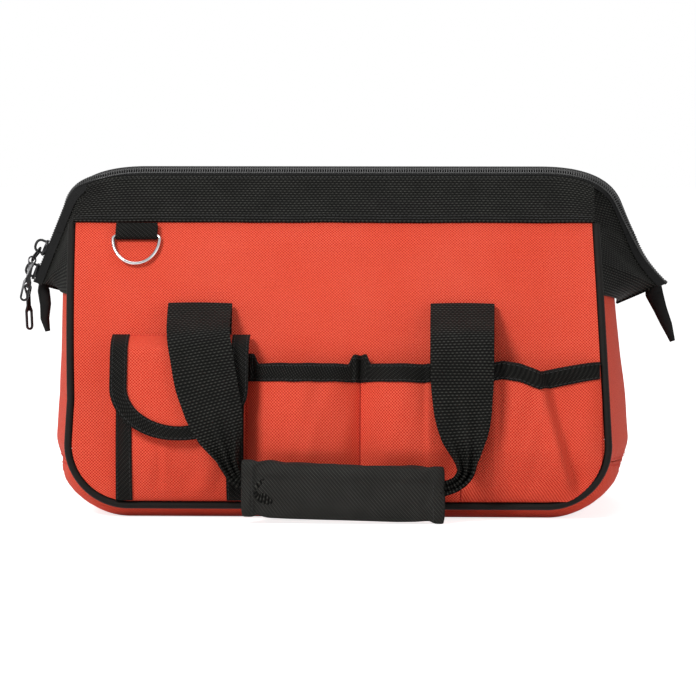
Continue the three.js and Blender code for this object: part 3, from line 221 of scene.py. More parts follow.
def flat_axes(n):
    """The two directions of the cloth, in metres along it."""
    uv = n.add("ShaderNodeUVMap", uv_map="cloth")[0]
    split = n.add("ShaderNodeSeparateXYZ", {0: uv})
    return uv, split[0], split[1]


def finish_with(n, shader, colour, height, depth):
    """Links the colour of a finish and the bumps that its height gives."""
    n.tree.links.new(colour, shader.inputs["Base Color"])
    bumps = n.add("ShaderNodeBump", {"Height": height, "Distance": depth, "Strength": 1})
    n.tree.links.new(bumps[0], shader.inputs["Normal"])


# %% Red polyester
DOT_PITCH, YARN_DRIFT = 0.0018, 0.00035


def red_polyester():
    """Plain weave of thick yarns: rows of dots that touch at their corners, with a soft gloss. The dot tops
    carry a painted highlight of pale pink, and the hollows between them a painted shade of deep red.
    """
    material, n, shader = principled("red_polyester", 0.5, Specular_IOR_Level=0.07)
    uv, u, v = flat_axes(n)
    drift = n.times(n.noise(uv, 220), YARN_DRIFT)
    dots = n.half_up(n.times(*(n.wave(n.plus(axis, drift), DOT_PITCH) for axis in (u, v))))
    patches = n.noise(uv, 22, 4)
    yarns = n.math("SUBTRACT", n.times(n.noise(uv, 900, 2), 0.5), 0.32)
    # Painted shade for the hollows and painted highlight for the dot tops, each varied at random by patches
    painted_shade_red = n.colours(patches, (0.50, 0.004, 0.001), (0.64, 0.010, 0.002))
    painted_highlight_red = n.colours(patches, (0.99, 0.13, 0.065), (1.0, 0.2, 0.12))
    colour = n.colours(n.plus(n.times(dots, 1.15), yarns, clamp=True), painted_shade_red, painted_highlight_red)
    finish_with(n, shader, colour, n.plus(dots, n.times(patches, 0.5)), 0.0003)
    n.tree.links.new(n.plus(n.times(dots, -0.12), 0.6), shader.inputs["Roughness"])
    return material


# %% Black webbing, tape and twill
def black_weave(name, pitch_u, pitch_v, dark, light, depth, roughness, slant=0.0):
    """Ribs across the cloth, each broken into short floats. slant turns them into a twill. The rib tops
    carry a painted highlight in the light colour, in patches, and the hollows a painted shade in the dark
    one.
    """
    material, n, shader = principled(name, roughness, Specular_IOR_Level=0.08)
    uv, u, v = flat_axes(n)
    leaning = n.plus(v, n.times(u, slant))
    ribs = n.half_up(n.wave(leaning, pitch_v))
    rows = n.math("FLOOR", n.times(leaning, 1 / pitch_v))
    floats = n.half_up(n.wave(n.plus(u, n.times(rows, pitch_u / 2)), pitch_u))
    height = n.times(n.math("POWER", ribs, 0.7), n.plus(n.times(floats, 0.6), 0.4))
    # Painted highlight on the highest parts of the ribs, made patchy by noise
    patchy_sheen = n.plus(n.times(n.noise(uv, 60, 4), 1.2), 0.35)
    share = n.math("MULTIPLY", n.math("POWER", height, 2.2), patchy_sheen, clamp=True)
    finish_with(n, shader, n.colours(share, dark, light), height, depth)
    return material


# %% Piping, nylon, thread and metal
def smooth_cloth(name, dark, light, pitch, depth, roughness):
    """Fine cloth or yarn: close threads with a little fuzz."""
    material, n, shader = principled(name, roughness, Specular_IOR_Level=0.12)
    uv, u, v = flat_axes(n)
    threads = n.times(n.wave(n.plus(u, v), pitch), n.wave(n.math("SUBTRACT", u, v), pitch))
    height = n.plus(n.half_up(threads), n.times(n.noise(uv, 400, 3), 0.6))
    finish_with(n, shader, n.colours(n.times(height, 0.6), dark, light), height, depth)
    return material


def placed(name, dark, light, scale, depth, roughness, **values):
    """Thread, metal, enamel and board: small changes of tone and height by the object's own place."""
    material, n, shader = principled(name, roughness, **values)
    place = n.add("ShaderNodeTexCoord")["Object"]
    grain, wear = n.noise(place, scale, 4), n.noise(place, scale / 6, 3)
    finish_with(n, shader, n.colours(grain, dark, light), grain, depth)
    n.tree.links.new(n.plus(n.times(wear, 0.16), roughness - 0.08), shader.inputs["Roughness"])
    return material


RED = red_polyester()
# Each weave: its pitches in metres, dark and light, depth, roughness and slant. The light colour is the
# painted highlight on the rib tops.
WEBBING = black_weave(
    "webbing_black", 0.0025, 0.0018, (0.0008, 0.0008, 0.0006), (0.062, 0.062, 0.055), 0.0006, 0.6
)
TAPE_CLOTH = black_weave(
    "tape_black", 0.0016, 0.0015, (0.001, 0.001, 0.0008), (0.045, 0.044, 0.04), 0.0003, 0.64, 0.9
)
TWILL = black_weave(
    "grip_twill", 0.0012, 0.0011, (0.011, 0.011, 0.01), (0.085, 0.083, 0.076), 0.0002, 0.62, 1.0
)
PIPING = smooth_cloth("piping_cloth", (0.003, 0.0026, 0.0024), (0.02, 0.018, 0.016), 0.0009, 0.0001, 0.5)
NYLON = smooth_cloth("zipper_nylon", (0.002, 0.002, 0.002), (0.014, 0.014, 0.014), 0.0007, 0.00008, 0.5)
COIL = placed("coil_nylon", (0.03,) * 3, (0.075,) * 3, 500, 0.00002, 0.34)
BLACK_THREAD = placed("thread_black", (0.004,) * 3, (0.02,) * 3, 900, 0.00004, 0.6)
RED_THREAD = placed("thread_red", (0.55, 0.02, 0.008), (0.85, 0.06, 0.03), 900, 0.00004, 0.6)
CHROME = placed("ring_chrome", (0.62, 0.62, 0.63), (0.78, 0.78, 0.8), 300, 0.000005, 0.16, Metallic=1.0)
STEEL = placed("frame_steel", (0.42, 0.42, 0.43), (0.6,) * 3, 500, 0.00001, 0.34, Metallic=1.0)
ENAMEL = placed("slider_enamel", (0.012, 0.012, 0.013), (0.05, 0.05, 0.052), 700, 1e-5, 0.28, Metallic=0.6)
BOARD = placed("base_board", (0.012,) * 3, (0.03,) * 3, 250, 0.0001, 0.72)
print("finishes:", len([m for m in bpy.data.materials if m.users or m.node_tree]))

# %% [markdown]
# ## The lines of the bag
# All cloth follows a few lines: the wall that leans in towards the mouth, the piped seam round each
# wall, and the rim that the zipper runs along. They are written here in millimetres as in the
# model, so every piece lands on the solid that it stands for.

# %% Sizes in millimetres
MM = 0.001
FRONT, BACK, LEFT, RIGHT = -1, 1, -1, 1
FACE_NAME = {FRONT: "front", BACK: "back"}
SIDE_NAME = {LEFT: "left", RIGHT: "right"}
BASE_HALF_WIDTH, TOP_HALF_WIDTH, BASE_HALF_DEPTH, RIM_HALF_DEPTH = 160, 153, 86, 9
RIM_HEIGHT, SEAM_HEIGHT, CORNER_RADIUS, LEAN_START = 206, 8, 36, 30
WALL_CLOTH, WEB, TRIM, CLEAR, SEAT, PIPING_RADIUS = 1.2, 1.6, 0.8, 0.3, 0.4, 2.2
BAND_LOWER, EAR_LOWER = 172.5, 133
RIM_STRAIGHT, RIM_CORNER_X, RIM_SHOULDER, RIM_TIP = 120, 160, (168.5, 185), (188.5, 135.5)
TAPE_OUT, TAPE_DROP = (9.4, 15.7), (5.4, 6.6)
STUB_LENGTH, MOVING_FROM = 34, 34.2
BAG_MIDDLE = Vector((0, 0, 60))


def lerp(a, b, t):
    return a + (b - a) * t


def clamp(t, low=0.0, high=1.0):
    return min(high, max(low, t))


def smooth(t):
    t = clamp(t)
    return t * t * (3 - 2 * t)


def spaced(a, b, count):
    return [lerp(a, b, i / count) for i in range(count + 1)]


def ripple(x, z, wide, tall, seed):
    """Soft waves of cloth between -1 and 1, the same on every run."""
    return noise.noise(Vector((x / wide, z / tall, seed * 7.3)))


# %% The leaning wall
def half_depth(z):
    lean = max(0, (z - LEAN_START) / (RIM_HEIGHT - LEAN_START))
    return RIM_HALF_DEPTH + (BASE_HALF_DEPTH - RIM_HALF_DEPTH) * (1 - lean**2)


def wall_normal(z):
    slope = half_depth(z + 0.5) - half_depth(z - 0.5)
    length = math.hypot(1, slope)
    return 1 / length, -slope / length


def on_wall(face, x, z, out):
    """A point at a distance outside the front or back wall."""
    ny, nz = wall_normal(z)
    return Vector((x, face * (half_depth(z) + out * ny), z + out * nz))


def seam_depth(z):
    return half_depth(z) - (PIPING_RADIUS + SEAT) / wall_normal(z)[0]


def side_line(z):
    low = SEAM_HEIGHT + CORNER_RADIUS
    return lerp(BASE_HALF_WIDTH, TOP_HALF_WIDTH, max(0, (z - low) / (BAND_LOWER - low)))


def wall_half_width(z, inset=0.0):
    below = SEAM_HEIGHT + CORNER_RADIUS - z
    if below <= 0:
        return side_line(z) - inset
    span = math.sqrt(max(0, (CORNER_RADIUS - inset) ** 2 - below**2))
    return BASE_HALF_WIDTH - CORNER_RADIUS + span


def slumped(x, z):
    """The left end of the real bag leans out more than the right one, by up to 9 mm at the band."""
    rise = clamp((z - 70) / 102) * (1 - 0.7 * smooth((z - 174) / 16))
    return x - 9.3 * rise * smooth((-x - 60) / 90)


# %% Lines read by distance
class Line:
    """A line in X and Z, read by the distance along it."""

    def __init__(self, points):
        self.points = np.array(points, float)
        steps = np.diff(self.points, axis=0)
        lengths = np.hypot(steps[:, 0], steps[:, 1])
        self.marks = np.concatenate([[0], np.cumsum(lengths)])
        self.length = float(self.marks[-1])
        ways = steps / lengths[:, None]
        self.ways = np.vstack([ways[:1], ways[:-1] + ways[1:], ways[-1:]])
        self.ways /= np.linalg.norm(self.ways, axis=1)[:, None]

    def at(self, distance):
        d = clamp(distance, 0, self.length)
        read = lambda values: float(np.interp(d, self.marks, values))
        x, z = read(self.points[:, 0]), read(self.points[:, 1])
        tx, tz = read(self.ways[:, 0]), read(self.ways[:, 1])
        size = math.hypot(tx, tz)
        return x, z, tx / size, tz / size


def mirrored(right_half):
    """A whole line, left to right, from its right half."""
    return [(-x, z) for x, z in reversed(right_half[1:])] + right_half


def quarter(x, z, wide, tall, start, count=24):
    """A quarter turn about a centre, from an angle in degrees."""
    turn = [math.radians(a) for a in spaced(start, start + 90, count)]
    return [(x + wide * math.cos(a), z + tall * math.sin(a)) for a in turn]


def seam_line(top):
    corner, low = BASE_HALF_WIDTH - CORNER_RADIUS, SEAM_HEIGHT + CORNER_RADIUS
    flat = [(x, SEAM_HEIGHT) for x in spaced(0, corner, 30)]
    arc = quarter(corner, low, CORNER_RADIUS, CORNER_RADIUS, -90)
    side = [(side_line(z), z) for z in spaced(low, top, 30)]
    return Line(mirrored(flat + arc[1:] + side[1:]))


def rim_line():
    flat = [(x, RIM_HEIGHT) for x in spaced(0, RIM_STRAIGHT, 30)]
    ends = ((RIM_STRAIGHT, RIM_HEIGHT), (RIM_CORNER_X, RIM_HEIGHT), RIM_SHOULDER)
    bend = []
    for t in spaced(0, 1, 24):
        weights = ((1 - t) ** 2, 2 * t * (1 - t), t * t)
        bend.append(tuple(sum(w * e[k] for w, e in zip(weights, ends)) for k in (0, 1)))
    leg = [tuple(lerp(a, b, t) for a, b in zip(RIM_SHOULDER, RIM_TIP)) for t in spaced(0, 1, 16)]
    return Line(mirrored(flat + bend[1:] + leg[1:]))


RIM = rim_line()
LEG_LENGTH = math.dist(RIM_TIP, RIM_SHOULDER)
TIP_FLARE, FLARE_LENGTH = 8, 26


def at_rim(distance, y, out):
    """A point by the zipper: distance along it from its left tip, depth, and height above its line.
    The right tip of the real bag flares out, where the zipper turns over its end."""
    x, z, tx, tz = RIM.at(distance)
    flare = TIP_FLARE * clamp(1 - (RIM.length - distance) / FLARE_LENGTH) ** 2
    return Vector((x - tz * out + flare, y, z + tx * out))


def tape_edge(distance):
    """How far the zipper tape reaches from the middle, and how far its edge drops."""
    along = min(distance, RIM.length - distance)
    share = smooth((along - STUB_LENGTH) / (LEG_LENGTH + 24 - STUB_LENGTH))
    return lerp(*TAPE_OUT, share), lerp(*TAPE_DROP, share)


print("rim length:", round(RIM.length), "mm, seam length:", round(seam_line(BAND_LOWER).length), "mm")

# %% [markdown]
# ## Cloth from a grid
# Sheets of cloth are laid out as rows of points, like a sewing pattern. Each gets its own flat
# coordinates, measured along the rows, and then a Solidify modifier gives it the thickness of the
# real cloth. This keeps the weave straight on the cloth even where the cloth bends.


# %% Grid meshes
def circle(radius, sides):
    turns = [2 * math.pi * j / sides for j in range(sides)]
    return [(radius * math.cos(a), radius * math.sin(a)) for a in turns]


def grid_piece(name, grid, wrap=False, caps=False):
    """A mesh from rows of points in millimetres. wrap closes each row into a ring."""
    points = np.array(grid, float) * MM
    rows, columns = points.shape[:2]
    across = np.linalg.norm(np.roll(points, -1, axis=1) - points, axis=2)
    along = np.linalg.norm(np.diff(points, axis=0), axis=2).mean(axis=1)
    u = np.concatenate([np.zeros((rows, 1)), np.cumsum(across, axis=1)], axis=1)
    u = u - u[:, [columns // 2]]
    v = np.concatenate([[0], np.cumsum(along)])
    faces, flat = [], []
    for i in range(rows - 1):
        for j in range(columns if wrap else columns - 1):
            k, low, high = (j + 1) % columns, i * columns, (i + 1) * columns
            faces.append((low + j, low + k, high + k, high + j))
            flat += [(u[a, b], v[a]) for a, b in ((i, j), (i, j + 1), (i + 1, j + 1), (i + 1, j))]
    if caps:
        last = (rows - 1) * columns
        faces += [tuple(range(columns))[::-1], tuple(last + j for j in range(columns))]
        ring = [(x * MM, y * MM) for x, y in circle(1, columns)]
        flat += ring[::-1] + ring
    mesh = bpy.data.meshes.new(name)
    mesh.from_pydata([tuple(p) for p in points.reshape(-1, 3)], [], faces)
    layer = mesh.uv_layers.new(name="cloth")
    layer.data.foreach_set("uv", np.array(flat, np.float32).reshape(-1))
    return in_scene(name, mesh)


@contextmanager
def editing(mesh):
    """The mesh as a BMesh, written back at the end."""
    bm = bmesh.new()
    bm.from_mesh(mesh)
    yield bm
    bm.to_mesh(mesh)
    bm.free()


def turn_faces(piece, closed, middle=BAG_MIDDLE):
    """Turns faces outwards: a closed shape by its own volume, an open sheet away from a middle."""
    with editing(piece.data) as bm:
        if closed:
            bmesh.ops.recalc_face_normals(bm, faces=bm.faces)
            return
        outward = sum(f.calc_area() * f.normal.dot(f.calc_center_median() - middle * MM) for f in bm.faces)
        if outward < 0:
            bmesh.ops.reverse_faces(bm, faces=bm.faces)


def settle(piece):
    """Applies what modifiers a piece has, smooths it and keeps its real edges sharp."""
    if piece.modifiers:
        depsgraph = bpy.context.evaluated_depsgraph_get()
        made = bpy.data.meshes.new_from_object(piece.evaluated_get(depsgraph))
        piece.modifiers.clear()
        piece.data = made
    piece.data.shade_smooth()
    piece.data.set_sharp_from_angle(angle=math.radians(48))
    return piece


def sheet(name, grid, thickness, middle=BAG_MIDDLE):
    """Cloth whose outer face is the grid and whose thickness goes inwards."""
    piece = grid_piece(name, grid)
    turn_faces(piece, False, middle)
    solid = piece.modifiers.new("thickness", "SOLIDIFY")
    solid.thickness, solid.offset = thickness * MM, -1
    return settle(piece)


def laid_out(place, us, vs):
    return [[place(u, v) for u in us] for v in vs]


def joined(name, pieces):
    """One piece from several that are already finished."""
    kept, *others = pieces
    kept.name = name
    with editing(kept.data) as bm:
        for piece in others:
            bm.from_mesh(piece.data)
    for piece in others:
        bpy.data.objects.remove(piece)
    return settle(kept)


def dress(piece, finish, body, nodes=(), bend=None):
    """Gives a piece its finish and lets it stand for its CAD nodes. Without a bend it also gets its body;
    with one it is only fixed where it lies.
    """
    piece.data.materials.clear()
    piece.data.materials.append(finish)
    piece.data.name = piece.name
    if bend:
        other, *ends = bend
        start, end = (tuple(v * MM for v in place) for place in ends)
        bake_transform(piece)
        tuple(start)
        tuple(end)
    else:
        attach(piece, body)
    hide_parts(*nodes)
    print(piece.name, "->", body, len(piece.data.polygons), "faces")
    return piece


# %% [markdown]
# ## Walls, ends and base
# The front and back walls are flat cuts of cloth with round lower corners. The real cloth hangs in
# shallow waves between the seams, so each wall sinks in by up to 3 mm on slow noise. The end
# cloths and the base are one strip round the seam. They bulge past the piping, and pull in where
# they are stitched, which gives the small puckers at the lower corners.

# %% Walls
PANEL_FOOT, PANEL_TOP = SEAM_HEIGHT + PIPING_RADIUS + CLEAR, BAND_LOWER + 6
WALL_BEND = (0, 0, 121), (0, 0, 158)


def wall_panel(face):
    def place(u, v):
        z = lerp(PANEL_FOOT, PANEL_TOP, 0.6 * v * v + 0.4 * v if v < 0.5 else v - 0.15 * (1 - v) * 2)
        half = wall_half_width(z, PIPING_RADIUS + CLEAR)
        x = half * (2 * u - 1)
        free = smooth((z - 96) / 20) * smooth((166 - z) / 20) * smooth((half - abs(x)) / 18)
        sink = free * (1.3 - 1.5 * ripple(x, z, 62, 40, 3 + face))
        sink += 0.9 * free * abs(ripple(x + 0.6 * z, z, 21, 70, 9 + face))
        return on_wall(face, slumped(x, z), z, WALL_CLOTH - sink)

    return laid_out(place, spaced(0, 1, 130), spaced(0, 1, 76))


for face, name in FACE_NAME.items():
    panel = sheet(f"{name}_wall_cloth", wall_panel(face), WALL_CLOTH)
    dress(panel, RED, "bag", [f"{name}_panel"], (f"{name}_mouth", *WALL_BEND))

# %% Ends and base
BASE_SEAM, GUSSET_BULGE, GUSSET_TOP_BULGE = 34, 13, 9
GUSSET_LINE = seam_line(EAR_LOWER)


def gusset_bulge(z, across):
    up = clamp((z - SEAM_HEIGHT) / (BASE_SEAM - SEAM_HEIGHT))
    fall = clamp((z - SEAM_HEIGHT - CORNER_RADIUS) / (EAR_LOWER - SEAM_HEIGHT - CORNER_RADIUS))
    fullest = SEAM_HEIGHT + (GUSSET_BULGE - SEAM_HEIGHT) * up**1.5
    reach = fullest + (GUSSET_TOP_BULGE - GUSSET_BULGE) * fall
    return min(reach, (1.2 - 0.08 * up) * reach * (1 - abs(across) ** (14 - 12 * up)))


def on_gusset(distance, across, lift=0.0):
    x, z, tx, tz = GUSSET_LINE.at(distance)
    pull = 1 - smooth(abs(z - BASE_SEAM) / 9) if abs(x) > 100 else 0
    bulge = gusset_bulge(z, across) + lift
    bulge -= 1.3 * pull * (1 + 0.5 * math.sin(across * 44)) * (1 - abs(across) ** 6)
    if z > 12:
        waves = 1.1 * ripple(across * 60, z, 30, 24, 21) * (1 - abs(across) ** 4)
        bulge += waves * (1 - 0.6 * smooth((z - 60) / 60))
    z_out = z - tx * bulge
    return Vector((slumped(x + tz * bulge, z_out), across * seam_depth(z), max(0.02 + lift, z_out)))


def gusset_distance(side, z):
    """The distance along the line at which it passes a height, found by halving."""
    half = GUSSET_LINE.length / 2
    low, high = (0, half) if side == LEFT else (half, 2 * half)
    for _ in range(40):
        middle = (low + high) / 2
        if (GUSSET_LINE.at(middle)[1] > z) == (side == LEFT):
            low = middle
        else:
            high = middle
    return (low + high) / 2


SEAM_AT = {side: gusset_distance(side, BASE_SEAM) for side in (LEFT, RIGHT)}
GUSSET_PARTS = {
    "left_end_cloth": (0, SEAM_AT[LEFT] - 0.2, 60, "left_gusset"),
    "right_end_cloth": (SEAM_AT[RIGHT] + 0.2, GUSSET_LINE.length, 60, "right_gusset"),
    "base_cloth": (SEAM_AT[LEFT] + 0.2, SEAM_AT[RIGHT] - 0.2, 150, "base_panel"),
}
columns = [math.sin(a) for a in spaced(-math.pi / 2, math.pi / 2, 44)]
for name, (first, last, rows, node) in GUSSET_PARTS.items():
    grid = laid_out(lambda a, d: on_gusset(d, a), columns, spaced(first, last, rows))
    dress(sheet(name, grid, WALL_CLOTH), RED, "bag", [node])


# %% Piping
def tube(name, points, radius, sides, closed=False, hint=Vector((0, 1, 0)), shape=None):
    """A round tube along points, or along the shape that shape(share) gives as [side, up] pairs."""
    count = len(points)
    rings = []
    for i, at in enumerate(points):
        before = points[(i - 1) % count] if closed else points[max(0, i - 1)]
        after = points[(i + 1) % count] if closed else points[min(count - 1, i + 1)]
        along = (after - before).normalized()
        side = (hint - along * hint.dot(along)).normalized()
        up = along.cross(side)
        outline = shape(i / (count - 1)) if shape else circle(radius, sides)
        rings.append([at + side * s + up * t for s, t in outline])
    if closed:
        rings.append(rings[0])
    piece = grid_piece(name, rings, wrap=True, caps=not closed)
    if closed:
        with editing(piece.data) as bm:
            bmesh.ops.remove_doubles(bm, verts=bm.verts, dist=1e-6)
    turn_faces(piece, True)
    return settle(piece)


PIPING_LINE = seam_line(BAND_LOWER - CLEAR)
for face, name in FACE_NAME.items():
    points = []
    for d in spaced(0, PIPING_LINE.length, 260):
        x, z, _, _ = PIPING_LINE.at(d)
        points.append(Vector((slumped(x, z), face * half_depth(z), z)))
    cord = tube(f"{name}_piping_cord", points, PIPING_RADIUS, 14)
    dress(cord, PIPING, "bag", [f"{name}_piping"], (f"{name}_mouth", *WALL_BEND))

# %% [markdown]
# ## The mouth
# A webbing band closes each wall at the top, and black ears of the same cloth fold outwards at the
# two ends, so that the mouth can open as wide as the bag. Band and ears are sheets laid over the
# same lines as the solids. The band moves with its half of the mouth, while an ear is only fixed
# where it lies.

# %% Mouth bands
HEM_DROP, EAR_CLOTH = 6.4, 1.3
HEM_PLACES = [at_rim(d, 0, -HEM_DROP) for d in spaced(RIM.length / 2, RIM.length - LEG_LENGTH + 8, 60)]


def hem_height(x):
    """Height of the tape's lower edge over the band, for the part between the ears."""
    return float(np.interp(abs(x), [p.x for p in HEM_PLACES], [p.z for p in HEM_PLACES]))


BAND_HALF_WIDTH = TOP_HALF_WIDTH - 1
BAND_OUT = WALL_CLOTH + CLEAR + WEB


def band_point(face, share, v, out=0.0):
    x = BAND_HALF_WIDTH * share
    z = lerp(BAND_LOWER, hem_height(x), v)
    wavy = 0.45 * ripple(x, z, 34, 30, 40 + face) * math.sin(math.pi * clamp(v))
    uneven = 0.35 * ripple(x, 0, 22, 1, 50 + face) * (1 - v)
    return on_wall(face, slumped(x, z), z + uneven, BAND_OUT + wavy + out)


for face, name in FACE_NAME.items():
    grid = laid_out(lambda u, v: band_point(face, u, v), spaced(-1, 1, 150), spaced(0, 1, 12))
    band = sheet(f"{name}_band", grid, WEB)
    dress(band, WEBBING, f"{name}_mouth", [f"{name}_mouth_band"])


# %% Ears
EAR_FOOT, EAR_TOP = EAR_LOWER + CLEAR + SEAT, hem_height(BAND_HALF_WIDTH) + 1.5


def ear_point(face, side, u, v):
    """u runs from the wall to the zipper and tucks under its tape past 1. v runs from foot to top."""
    fold_across = (CLEAR / 2 + WEB * 0.6) / seam_depth(EAR_LOWER)
    tuck, u = clamp((u - 1) / 0.06), min(u, 1)

    def lower(u):
        across = lerp(1, fold_across, u)
        z = EAR_FOOT - (2 + 7.5 * u if side == RIGHT else 2.5)
        x = side_line(z) + gusset_bulge(z, across) + 1.7 * smooth((EAR_FOOT - z) / 2)
        return Vector((slumped(side * x, z), face * across * seam_depth(z), z))

    def wall(v):
        z = lerp(lower(0).z, EAR_TOP, v)
        x = lerp(side_line(z), BAND_HALF_WIDTH - 2.5, smooth((z - BAND_LOWER + 2) / 4))
        return Vector((slumped(side * x, z), face * seam_depth(z), z))

    def hem(v, inwards=0.0):
        distance = lerp(1.5, LEG_LENGTH + 14, v)
        reach, drop = tape_edge(distance)
        lift = lerp(-SEAT, 1.4, inwards)
        p = at_rim(distance if side == LEFT else RIM.length - distance, 0, lift - drop)
        return Vector((p.x, face * (reach + CLEAR - 2.1 * inwards), p.z))

    fold = lower(1)
    outer = fold.lerp(hem(0), v / 0.3) if v < 0.3 else hem((v - 0.3) / 0.7, tuck)
    bow = lower(u) - wall(0).lerp(fold, u)
    p = wall(v).lerp(outer, u) + bow * (1 - v) ** 1.5
    soft = math.sin(math.pi * u) * math.sin(math.pi * clamp(v * 1.15)) ** 0.7
    crease = 1.5 * ripple(p.z + p.y, p.x, 17, 26, 60 + 2 * side + face)
    crease -= 0.9 * abs(ripple(p.z - 0.5 * p.y, p.x, 13, 30, 66))
    return p + Vector((side * 0.8, face * 0.6, 0)) * soft * crease


EAR_COLUMNS = spaced(0, 1, 34) + [1.03, 1.06]
for face in (FRONT, BACK):
    for side in (LEFT, RIGHT):
        name = f"{FACE_NAME[face]}_{SIDE_NAME[side]}_ear"
        grid = laid_out(lambda u, v: ear_point(face, side, u, v), EAR_COLUMNS, spaced(0, 1, 54))
        ear = sheet(f"{name}_cloth", grid, EAR_CLOTH, BAG_MIDDLE + Vector((0, 0, 70)))
        bend = (f"{FACE_NAME[face]}_mouth", (side * 182, 0, 146), (side * 152, 0, 172))
        dress(ear, WEBBING, "bag", [name], bend)

# %% [markdown]
# ## The zipper
# A coil zipper is a nylon spring sewn to the edge of a tape. From a hand's distance it reads as a
# ribbed bead, so each tooth is one small rounded bar across the edge, repeated along the rim. A
# Geometry Nodes tree does that: it samples a curve at the tooth pitch and turns a tooth to the curve
# at each place. The cord inside the coil is a plain tube. The teeth of the two sides are half a
# pitch apart, so they mesh.

# %% Zipper tapes
MOVING_TO = RIM.length - MOVING_FROM
COIL_HALF_WIDTH, TAPE, TAPE_FLAT, CHAIN_LEAN = 3.4, 0.7, 6.4, -0.6


def lean_share(distance):
    """The closed chain leans to the front, except where the sliders hold it on the left leg."""
    if distance < RIM.length / 2:
        return smooth((distance - 50) / 34)
    return lerp(0.3, 1, smooth((RIM.length - distance) / 60))


def rim_cross(distance, w):
    """Depth and height of the zipper's outer face, with w from -1 at the front hem to 1 at the back
    one, and the length of cloth from crown to hem. It is flat under the sliders, elsewhere an arch."""
    reach, drop = tape_edge(distance)
    side, w = (1 if w > 0 else -1), abs(w)
    slope = math.hypot(reach - TAPE_FLAT, drop)
    length = TAPE_FLAT + slope
    s = w * length
    t = max(0, s - TAPE_FLAT) / slope
    flat = (min(s, TAPE_FLAT) + t * (reach - TAPE_FLAT), -drop * t + TAPE / 2)
    radius = (reach**2 + drop**2) / (2 * drop)
    angle = w * math.asin(reach / radius)
    arch = (radius * math.sin(angle), TAPE / 2 - radius * (1 - math.cos(angle)))
    share = lean_share(distance)
    return side * lerp(flat[0], arch[0], share), lerp(flat[1], arch[1], share), length


def chain_middle(distance):
    return CHAIN_LEAN * lean_share(distance)


def step_across(distance, w):
    """How far the zipper's outer face goes in depth and in height over a short step at w."""
    (y0, n0, _), (y1, n1, _) = rim_cross(distance, w - 0.02), rim_cross(distance, w + 0.02)
    return y1 - y0, n1 - n0


def on_zipper(distance, w, lift=0.0):
    y, n, _ = rim_cross(distance, w)
    dy, dn = step_across(distance, w)
    size = math.hypot(dy, dn)
    return at_rim(distance, y - lift * dn / size, n + lift * dy / size)


def zipper_tilt(distance, w):
    dy, dn = step_across(distance, w)
    return math.atan2(dn, dy)


def beside_chain(distance, offset):
    """The share across the rim at a distance in millimetres from the middle of the chain."""
    return chain_middle(distance) + offset / rim_cross(distance, 0)[2]


def tape_grid(face, first, last, step=2.2):
    count = max(2, round((last - first) / step))

    def place(v, distance):
        w = lerp(beside_chain(distance, face * (COIL_HALF_WIDTH + 0.1)), face, v)
        slack = 0.3 * ripple(distance, 0, 15, 1, 70 + face) * smooth((v - 0.4) / 0.6)
        return on_zipper(distance, w, slack)

    return laid_out(place, spaced(0, 1, 18), spaced(first, last, count))


for face, name in FACE_NAME.items():
    tape = sheet(f"{name}_tape", tape_grid(face, MOVING_FROM, MOVING_TO), TAPE)
    dress(tape, NYLON, f"{name}_mouth", [f"{name}_zip_tape"])


# %% Tooth and stitch shapes
def capsule(name, along, radius_y, radius_z, finish, sides=7, rings=(0.0, 0.35, 0.75, 1.0)):
    """A rounded bar along X, closed at both ends, that a node tree repeats. Sizes are in metres.
    It leaves the scene once the tree's results are meshes."""
    half = along / 2
    quarter_turns = [math.pi / 2 * r for r in rings]
    stations = [(-half + half * 0.5 * (1 - math.cos(a)), math.sin(a)) for a in quarter_turns]
    stations += [(-x, s) for x, s in reversed(stations)]
    points, faces = [], []
    for x, s in stations[1:-1]:
        points += [(x, radius_y * s * c, radius_z * s * d) for c, d in circle(1, sides)]
    last = len(points) - sides
    points += [(-half, 0, 0), (half, 0, 0)]
    pairs = [(j, (j + 1) % sides) for j in range(sides)]
    for i in range(0, last, sides):
        faces += [(i + j, i + sides + j, i + sides + k, i + k) for j, k in pairs]
    for j, k in pairs:
        faces += [(last + sides, j, k), (last + sides + 1, last + k, last + j)]
    mesh = bpy.data.meshes.new(name)
    mesh.from_pydata(points, [], faces)
    mesh.materials.append(finish)
    mesh.shade_smooth()
    shape = in_scene(name, mesh)
    turn_faces(shape, True)
    return shape


# %% Node tree that repeats a shape along lines
ROW_INPUTS = {
    "Lines": "Geometry",
    "Shape": "Object",
    "Pitch": "Float",
    "Uneven": "Float",
    "Seed": "Int",
    "Finish": "Material",
}


